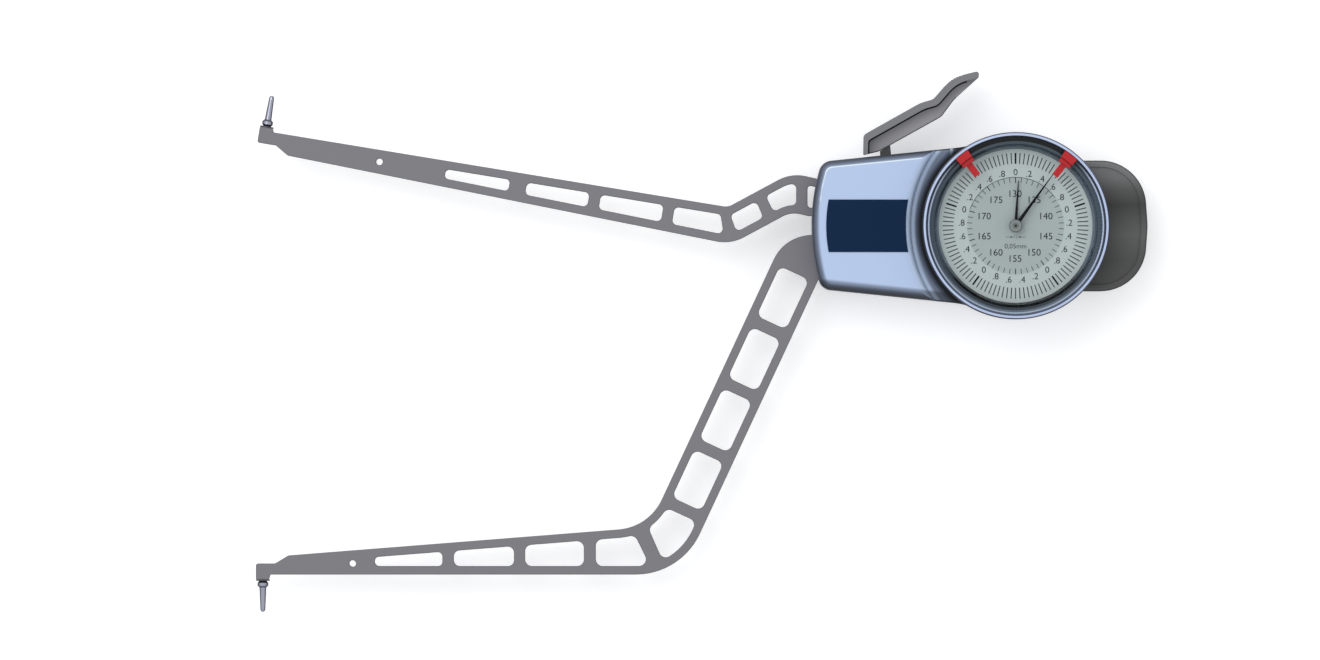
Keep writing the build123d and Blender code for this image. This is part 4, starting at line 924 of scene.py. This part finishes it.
@dataclass
class Arms(Assembly):
    """Fixed arm, moving arm with its lever and hub, and the contact pins."""

    smooth: Smooth = (
        ("fixed_arm", ARM_GREY, "arm_grey"), ("moving_arm", ARM_GREY, "arm_grey"),
        ("thumb_lever", LEVER_GREY, "arm_grey"), ("fixed_contact_pin", PIN_STEEL, "pin_steel"),
        ("moving_contact_pin", PIN_STEEL, "pin_steel"), ("fixed_pin_washer", DARK_STEEL, "washer_steel"),
        ("moving_pin_washer", DARK_STEEL, "washer_steel"))
    plain: Plain = (
        ("pivot_shaft", PIN_STEEL), ("thrust_washers", DARK_STEEL), ("hub_screws", SCREW_STEEL),
        ("sector_gear", BRASS))
    web_top: float = 17.0
    web_end: float = -16.0
    # widths of the painted shadow line at the cap's foot and of the painted shade line along the web's edge
    seam_width: float = 0.55
    rim_width: float = 0.35
    line_lift: float = 0.04
    level_tolerance: float = 0.01
    wall_lean: float = 0.1

    def outline_strips(self, lever: Piece, rising: bool, width: float) -> np.ndarray:
        """Corners of a flat strip along each edge of the web's upper face, for the painted shade lines.

        Args:
            lever: The dressed lever.
            rising: Whether to follow the edges where the cap rises from the web, or the web's outer edges.
            width: Width of the strip in millimetres.

        Returns:
            Four corners for each strip, in metres.
        """
        mesh = bmesh.new()
        mesh.from_mesh(lever.data)
        level = self.web_top * MM
        side = width * MM if rising else -width * MM
        lift = Vector((0.0, 0.0, self.line_lift * MM))
        points = []
        for edge in mesh.edges:
            first, second = [vertex.co.copy() for vertex in edge.verts]
            walls = [face for face in edge.link_faces if abs(face.normal.z) < self.wall_lean
                     and (face.calc_center_median().z > level) == rising]
            flat = max(abs(first.z - level), abs(second.z - level)) < self.level_tolerance * MM
            if not flat or len(walls) != 1 or max(first.x, second.x) > self.web_end * MM:
                continue
            away = walls[0].normal * side
            points += [tuple(corner + lift) for corner in (first, second, second + away, first + away)]
        mesh.free()
        return np.array(points)

    def seams(self, lever: Piece) -> None:
        """Dark line as painted shadow where the lever's cap rises from its web, and a thinner one as painted
        shade along the web's edge.

        Args:
            lever: The dressed lever.
        """
        for name, rising, width, finish in (("lever_cap_shadow", True, self.seam_width, CAP_SHADOW_DARK),
                                            ("lever_edge_shade", False, self.rim_width, EDGE_SHADE_GREY)):
            points = self.outline_strips(lever, rising, width)
            piece = mesh_object(name, points, np.arange(len(points)).reshape(-1, 4))
            upwards(piece)
            place_piece(piece, finish, body_of("thumb_lever"), "arm_grey")

    def build(self) -> None:
        """Dresses the arms' nodes and draws the lever's painted shadow and shade lines."""
        super().build()
        self.seams(bpy.data.objects["thumb_lever_dressed"])


@dataclass
class PointerWork(Assembly):
    """Wheels, arbors and pointers."""

    plain: Plain = (
        ("cannon_wheel", BRASS), ("intermediate_arbor", ARBOR_STEEL), ("intermediate_wheel", BRASS),
        ("centre_arbor", ARBOR_STEEL), ("small_pointer", POINTER_BLACK), ("large_pointer", POINTER_BLACK),
        ("pointer_cap", HUB_GREY))


@dataclass
class Bezel(Assembly):
    """Turned bezel with light rings and a knurled band, its glass, gaskets and red markers.

    The crown is the rounded edge between the skirt and the top: steps inwards and down from their corner.
    """

    smooth: Smooth = (
        ("crystal", CLEAR_GLASS, "crystal_glass"), ("left_marker", MARKER_RED, "marker_red"),
        ("right_marker", MARKER_RED, "marker_red"))
    plain: Plain = (("bezel_snap_ring", DARK_STEEL), ("crystal_gasket", GASKET_GREY))
    outer: float = 32.6
    foot: float = 21.3
    foot_corner: float = 0.25
    top: float = 31.5
    crown: tuple[Span, ...] = ((0.0, 0.7), (0.1, 0.3), (0.28, 0.08))
    light_inset: float = 0.42
    lip_inner: float = 31.3
    lip_corner: float = 0.12
    lip_draft: float = 0.02
    step: float = 30.7
    step_level: float = 30.6
    corner: float = 0.1
    small_corner: float = 0.05
    groove_level: float = 30.0
    groove_outer: float = 30.3
    groove_lead: float = 0.15
    groove_inner: float = 28.6
    groove_inner_level: float = 29.1
    groove_parts: int = 6
    edge_parts: int = 2
    wall: float = 28.5
    glass_seat: float = 27.0
    sleeve_top: float = 27.6
    sleeve_bottom: float = 26.8
    dial_level: float = 23.0
    dial_edge: float = 27.3
    sleeve_foot: float = 22.0
    sleeve_outer: float = 28.8
    roof: float = 26.2
    bore: float = 30.3
    bore_corner: float = 0.2
    snap_radius: float = 30.7
    snap_top: float = 23.7
    snap_foot: float = 22.9
    knurls: int = 150
    knurl_depth: float = 0.14
    steps: int = 900
    sharp_degrees: float = 35.0

    def rings(self) -> list[tuple[Band, list[Span]]]:
        """Profile from the skirt's foot over the lip and groove to the sleeve's foot and the neck's bore.

        Returns:
            Bands with the radii and levels of their points. Each reaches to the next one's first point.
        """
        start = self.groove_outer, self.groove_level
        end = self.groove_inner, self.groove_inner_level
        slope = np.linspace(start, end, self.groove_parts + 1)[1:].tolist()
        return [
            (Band.OUTLINE, [
                (self.bore + self.bore_corner, self.foot), (self.outer - self.foot_corner, self.foot),
                (self.outer, self.foot + self.foot_corner),
                *((self.outer - inwards, self.top - down) for inwards, down in self.crown)]),
            (Band.LIGHT, [(self.outer - self.light_inset, self.top)]),
            (Band.LINE, [
                (self.lip_inner + self.lip_corner, self.top), (self.lip_inner, self.top - self.lip_corner),
                (self.lip_inner - self.lip_draft, self.step_level + self.small_corner),
                (self.lip_inner - self.corner, self.step_level), (self.step + self.corner, self.step_level),
                (self.step, self.step_level - self.corner)]),
            (Band.SECOND, [(self.step - self.small_corner, self.groove_level + self.small_corner)]),
            (Band.EDGE, [
                (self.groove_outer - self.groove_lead, self.groove_level), *slope[:self.edge_parts]]),
            (Band.KNURLS, slope[self.edge_parts:]),
            (Band.WALL, [
                (self.wall, self.groove_inner_level - self.corner), (self.wall, self.glass_seat),
                (self.sleeve_top, self.glass_seat)]),
            (Band.OUTLINE, [
                (self.sleeve_bottom, self.dial_level), (self.dial_edge, self.dial_level),
                (self.dial_edge, self.sleeve_foot), (self.sleeve_outer, self.sleeve_foot),
                (self.sleeve_outer, self.roof), (self.bore, self.roof), (self.bore, self.snap_top),
                (self.snap_radius, self.snap_top), (self.snap_radius, self.snap_foot),
                (self.bore, self.snap_foot), (self.bore, self.foot + self.bore_corner)])]

    def ring(self) -> None:
        """Turns the profile, with ridges: the groove's level falls by depth x (1 + cos(n t)) / 2."""
        order = list(Band)
        rings = self.rings()
        profile = np.array([point for _, points in rings for point in points])
        bands = np.array([order.index(band) for band, points in rings for _ in points])
        turn = full_turn(self.steps)
        ridge = 0.5 + 0.5 * np.cos(turn * self.knurls)
        groove = np.isin(bands, [order.index(band) for band in (Band.EDGE, Band.KNURLS)])
        knurled = groove & (profile[:, 1] > self.groove_inner_level)
        level = profile[:, 1:] - self.knurl_depth * knurled[:, None] * ridge
        points = turned(profile[:, :1], turn, level)
        piece = mesh_object("bezel_turned", points, grid_faces(len(profile), self.steps, closed=True))
        for band in order:
            piece.data.materials.append(band.value.build())
        piece.data.polygons.foreach_set("material_index", np.repeat(bands, self.steps).astype(np.int32))
        shade(piece, self.sharp_degrees)
        place_piece(piece, None, "bezel", "bezel_metal", "bezel_ring")

    def build(self) -> None:
        """Makes the ring, and dresses the glass, gaskets and markers."""
        self.ring()
        super().build()


@dataclass
class Dial(Assembly):
    """Dial with its printed scales and numbers."""

    plain: Plain = (("dial_face", DIAL_PAINT),)
    level: float = 23.0
    print_height: float = 0.03
    scale_outer: float = 25.4
    scale_inner: float = 21.6
    marks: int = 100
    marks_to_zero: int = 20
    mark_width: float = 0.36
    zero_width: float = 0.62
    circle: float = 16.9
    tick_inner: float = 14.9
    tick_drop: float = 0.2
    ticks: int = 50
    ticks_to_number: int = 5
    tick_width: float = 0.28
    bold_width: float = 0.34
    arc_start: float = -70.0
    arc_end: float = 55.0
    arc_steps: int = 80
    arc_width: float = 0.2
    symbol_drop: float = 3.9
    symbol_half: float = 3.5
    line_half: float = 0.08
    bar_place: float = 0.45
    bar_half: float = 0.5
    head_gap: float = 0.35
    head_length: float = 1.0
    head_half: float = 0.4
    capital: float = 0.73
    letter_steps: int = 4
    labels: tuple[str, ...] = ("0", ".2", ".4", ".6", ".8") * 5
    label_radius: float = 18.8
    label_height: float = 2.3
    numbers: tuple[str, ...] = tuple(str(number) for number in range(130, 180, 5))
    number_radius: float = 11.3
    number_height: float = 2.45
    value: str = "0,05mm"
    value_drop: float = 7.0
    value_height: float = 1.75

    @property
    def printed(self) -> float:
        """Level of the print's upper side."""
        return self.level + self.print_height

    def bars(self, name: str, angles: np.ndarray, inner: float, outer: float, width: float,
             finish: Finish) -> None:
        """Radial marks: thin raised bars, their corners at (r, s) turned clockwise by the mark's angle.

        Args:
            name: Name of the piece.
            angles: Clockwise angles from the top, in degrees.
            inner: Inner radius.
            outer: Outer radius.
            width: Width of a mark.
            finish: Finish of the print.
        """
        half = width / 2
        along, across = np.array([(inner, -half), (inner, half), (outer, half), (outer, -half)]).T
        turn = np.radians(90.0 - angles)[:, None]
        x = along * np.cos(turn) - across * np.sin(turn)
        y = along * np.sin(turn) + across * np.cos(turn)
        low = np.stack([x, y, np.full_like(x, self.level)], axis=-1)
        high = low + np.array([0.0, 0.0, self.print_height])
        corners = np.concatenate([low, high], axis=1)
        block = np.array([(4, 7, 6, 5), (0, 4, 5, 1), (1, 5, 6, 2), (2, 6, 7, 3), (3, 7, 4, 0)])
        starts = corners.shape[1] * np.arange(len(angles))[:, None, None]
        piece = mesh_object(name, corners * MM, (block + starts).reshape(-1, 4))
        place_piece(piece, finish, "bezel", "dial_grey")

    def flat_print(self, name: str, shapes: list[Flat], finish: Finish) -> None:
        """Makes flat shapes one piece that looks up, at the print's level.

        Args:
            name: Name of the piece.
            shapes: X and Y of the points of each shape in millimetres, and its faces.
            finish: Finish of the print.
        """
        flat = np.concatenate([points for points, _ in shapes])
        points = np.column_stack([flat, np.full(len(flat), self.printed)])
        starts = np.cumsum([0] + [len(own) for own, _ in shapes]).tolist()
        faces = [[start + index for index in face]
                 for (_, own), start in zip(shapes, starts) for face in own]
        piece = mesh_object(name, points * MM, faces)
        upwards(piece)
        place_piece(piece, finish, "bezel", "dial_grey")

    def letters(self, text: str, x: float, y: float, height: float) -> Flat:
        """Outline of a text, filled with flat faces and centred at a place.

        Args:
            text: The text.
            x: X of its middle.
            y: Y of its middle.
            height: Height of a capital or figure, in millimetres.

        Returns:
            X and Y of its points, and its faces.
        """
        curve = bpy.data.curves.new("letters", "FONT")
        curve.body = text
        curve.resolution_u = self.letter_steps
        holder = add_object("letters", curve)
        bpy.context.view_layer.update()
        mesh = bpy.data.meshes.new_from_object(holder)
        flat = points_of(mesh)[:, :2]
        middle = (flat[:, 0].min() + flat[:, 0].max()) / 2
        placed = (flat - (middle, self.capital / 2)) * (height / self.capital) + (x, y)
        faces = [list(polygon.vertices) for polygon in mesh.polygons]
        bpy.data.objects.remove(holder)
        bpy.data.meshes.remove(mesh)
        bpy.data.curves.remove(curve)
        return placed, faces

    def words_round(self, name: str, texts: tuple[str, ...], radius: float, height: float) -> None:
        """Texts at equal steps round the dial, clockwise from the top.

        Args:
            name: Name of the piece.
            texts: The texts.
            radius: Distance of their middles from the axis.
            height: Height of their figures.
        """
        angles = np.radians(90.0 - np.arange(len(texts)) * 360.0 / len(texts))
        places = zip(texts, radius * np.cos(angles), radius * np.sin(angles))
        self.flat_print(name, [self.letters(text, x, y, height) for text, x, y in places], PRINT_DARK)

    def circle_line(self) -> None:
        """Arc over the inner scale: a flat strip between two angles, its points (r cos t, r sin t)."""
        turn = np.radians(np.linspace(90.0 - self.arc_end, 90.0 - self.arc_start, self.arc_steps))
        radii = self.circle + np.array([-0.5, 0.5])[:, None] * self.arc_width
        faces = grid_faces(2, self.arc_steps, closed=False)[:, ::-1]
        piece = mesh_object("dial_arc", turned(radii, turn, self.printed), faces)
        place_piece(piece, PRINT_LINE, "bezel", "dial_grey")

    def gap_symbol(self) -> None:
        """Two arrows that point at two short bars under the hub, as flat shapes in one mesh."""
        outlines = []
        for side in (-1.0, 1.0):
            end, bar = side * self.symbol_half, side * self.bar_place
            tip = side * (self.bar_place + self.head_gap)
            neck = tip + side * self.head_length
            outlines.append([(neck, self.head_half), (tip, 0.0), (neck, -self.head_half)])
            for start, stop, half in ((end, neck, self.line_half),
                                      (bar - self.line_half, bar + self.line_half, self.bar_half)):
                outlines.append([(start, -half), (start, half), (stop, half), (stop, -half)])
        shapes = [(np.array(outline) - (0.0, self.symbol_drop), [list(range(len(outline)))])
                  for outline in outlines]
        self.flat_print("gap_symbol", shapes, PRINT_GREY)

    def scale(self, count: int, bold_every: int) -> tuple[np.ndarray, np.ndarray]:
        """Spreads marks evenly round the dial, clockwise from the top.

        Args:
            count: Number of marks.
            bold_every: Every how many marks there is a bold one.

        Returns:
            Angles in degrees of the plain marks and of the bold ones.
        """
        number = np.arange(count)
        bold = number % bold_every == 0
        return number[~bold] * 360.0 / count, number[bold] * 360.0 / count

    def build(self) -> None:
        """Dresses the dial and prints its scales, labels and numbers."""
        super().build()
        marks, zeros = self.scale(self.marks, self.marks_to_zero)
        ticks, bold = self.scale(self.ticks, self.ticks_to_number)
        self.bars("scale_marks", marks, self.scale_inner, self.scale_outer, self.mark_width, PRINT_LINE)
        self.bars("scale_zero_marks", zeros, self.scale_inner, self.scale_outer, self.zero_width, PRINT_DARK)
        tick_start = self.tick_inner + self.tick_drop
        self.bars("turn_ticks", ticks, tick_start, self.circle, self.tick_width, PRINT_GREY)
        self.bars("turn_bold_ticks", bold, self.tick_inner, self.circle, self.bold_width, PRINT_LINE)
        self.circle_line()
        self.gap_symbol()
        self.words_round("scale_labels", self.labels, self.label_radius, self.label_height)
        self.words_round("turn_numbers", self.numbers, self.number_radius, self.number_height)
        value = self.letters(self.value, 0.0, -self.value_drop, self.value_height)
        self.flat_print("mark_value", [value], PRINT_LINE)


@dataclass
class Studio:
    """Camera, soft light and the pale floor.

    The view's middle, width and level are in millimetres, the lamp and the floor in metres. The lamp's place
    is measured from the middle of the view.
    """

    middle: Span = (-123.9, -36.3)
    view_width: float = 460.8
    view_level: float = 14.0
    lens: float = 400.0
    sensor: float = 36.0
    sight: float = 50.0
    lamp_place: Point = (-0.7, 1.0, 1.5)
    lamp_size: float = 1.6
    lamp_power: float = 12.0
    room_colour: Linear = (0.98, 0.99, 1.0, 1.0)
    room_strength: float = 0.76
    floor_colour: Linear = (0.85, 0.85, 0.86, 1.0)
    floor_glow: float = 0.42
    floor_size: float = 6.0
    floor_drop: float = 0.0004

    @property
    def centre(self) -> np.ndarray:
        """Middle of the view under the object, in metres."""
        return np.array([*self.middle, 0.0]) * MM

    def camera(self) -> None:
        """Looks straight down from width x lens / sensor above the view's level, +Y up in the picture."""
        data = bpy.data.cameras.new("camera")
        data.lens = self.lens
        data.sensor_width = self.sensor
        data.sensor_fit = "HORIZONTAL"
        data.clip_end = self.sight
        camera = add_object("camera", data)
        height = self.view_level + self.view_width * self.lens / self.sensor
        camera.location = (self.centre + (0.0, 0.0, height * MM)).tolist()
        bpy.context.scene.camera = camera

    def light(self) -> None:
        """Square lamp, as soft as a window, that looks at the middle of the view."""
        data = bpy.data.lights.new("window", "AREA")
        data.shape = "SQUARE"
        data.size = self.lamp_size
        data.energy = self.lamp_power
        lamp = add_object("window", data)
        lamp.location = (self.centre + self.lamp_place).tolist()
        lamp.rotation_euler = (-Vector(self.lamp_place)).to_track_quat("-Z", "Y").to_euler()

    def seen(self, n: Nodes) -> Socket:
        """1 for what the camera sees, also through clear glass, and 0 for light on its way to the object."""
        paths = n.add("ShaderNodeLightPath").outputs
        return n.largest(paths["Is Camera Ray"], paths["Is Transmission Ray"])

    def world(self) -> None:
        """Plain pale world, white where the camera sees it, also through clear glass."""
        world = bpy.data.worlds.new("room")
        bpy.context.scene.world = world
        n = Nodes.fresh(world)
        room = n.add("ShaderNodeBackground", {"Color": self.room_colour, "Strength": self.room_strength})
        white = n.add("ShaderNodeBackground", {"Color": WHITE})
        both = n.add("ShaderNodeMixShader", {0: self.seen(n), 1: room.outputs[0], 2: white.outputs[0]})
        n.add("ShaderNodeOutputWorld", {"Surface": both.outputs[0]})

    def floor(self) -> None:
        """Large pale floor that keeps the object's shadow and is white elsewhere."""
        corners = np.array([(-1, -1, 0), (1, -1, 0), (1, 1, 0), (-1, 1, 0)]) * self.floor_size / 2
        points = self.centre + corners - (0.0, 0.0, self.floor_drop)
        floor = mesh_object("floor", points, [[0, 1, 2, 3]])
        material = bpy.data.materials.new("pale_floor")
        n = Nodes.fresh(material)
        matt = n.add("ShaderNodeBsdfDiffuse", {"Color": self.floor_colour})
        strength = n.product(self.seen(n), self.floor_glow)
        glow = n.add("ShaderNodeEmission", {"Color": WHITE, "Strength": strength})
        both = n.add("ShaderNodeAddShader", {0: matt.outputs[0], 1: glow.outputs[0]})
        n.add("ShaderNodeOutputMaterial", {"Surface": both.outputs[0]})
        floor.data.materials.append(material)

    def build(self) -> None:
        """Sets up the camera, light, world and floor."""
        bpy.context.scene.view_settings.view_transform = "Standard"
        self.camera()
        self.light()
        self.world()
        self.floor()


def main() -> None:
    """Builds the stage and each sub-assembly, and logs each one as it is built."""
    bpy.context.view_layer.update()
    Studio().build()
    for assembly in (Housing(), Arms(), PointerWork(), Bezel(), Dial()):
        assembly.build()
        log.info("built %s", type(assembly).__name__)


if __name__ == "__main__":
    main()
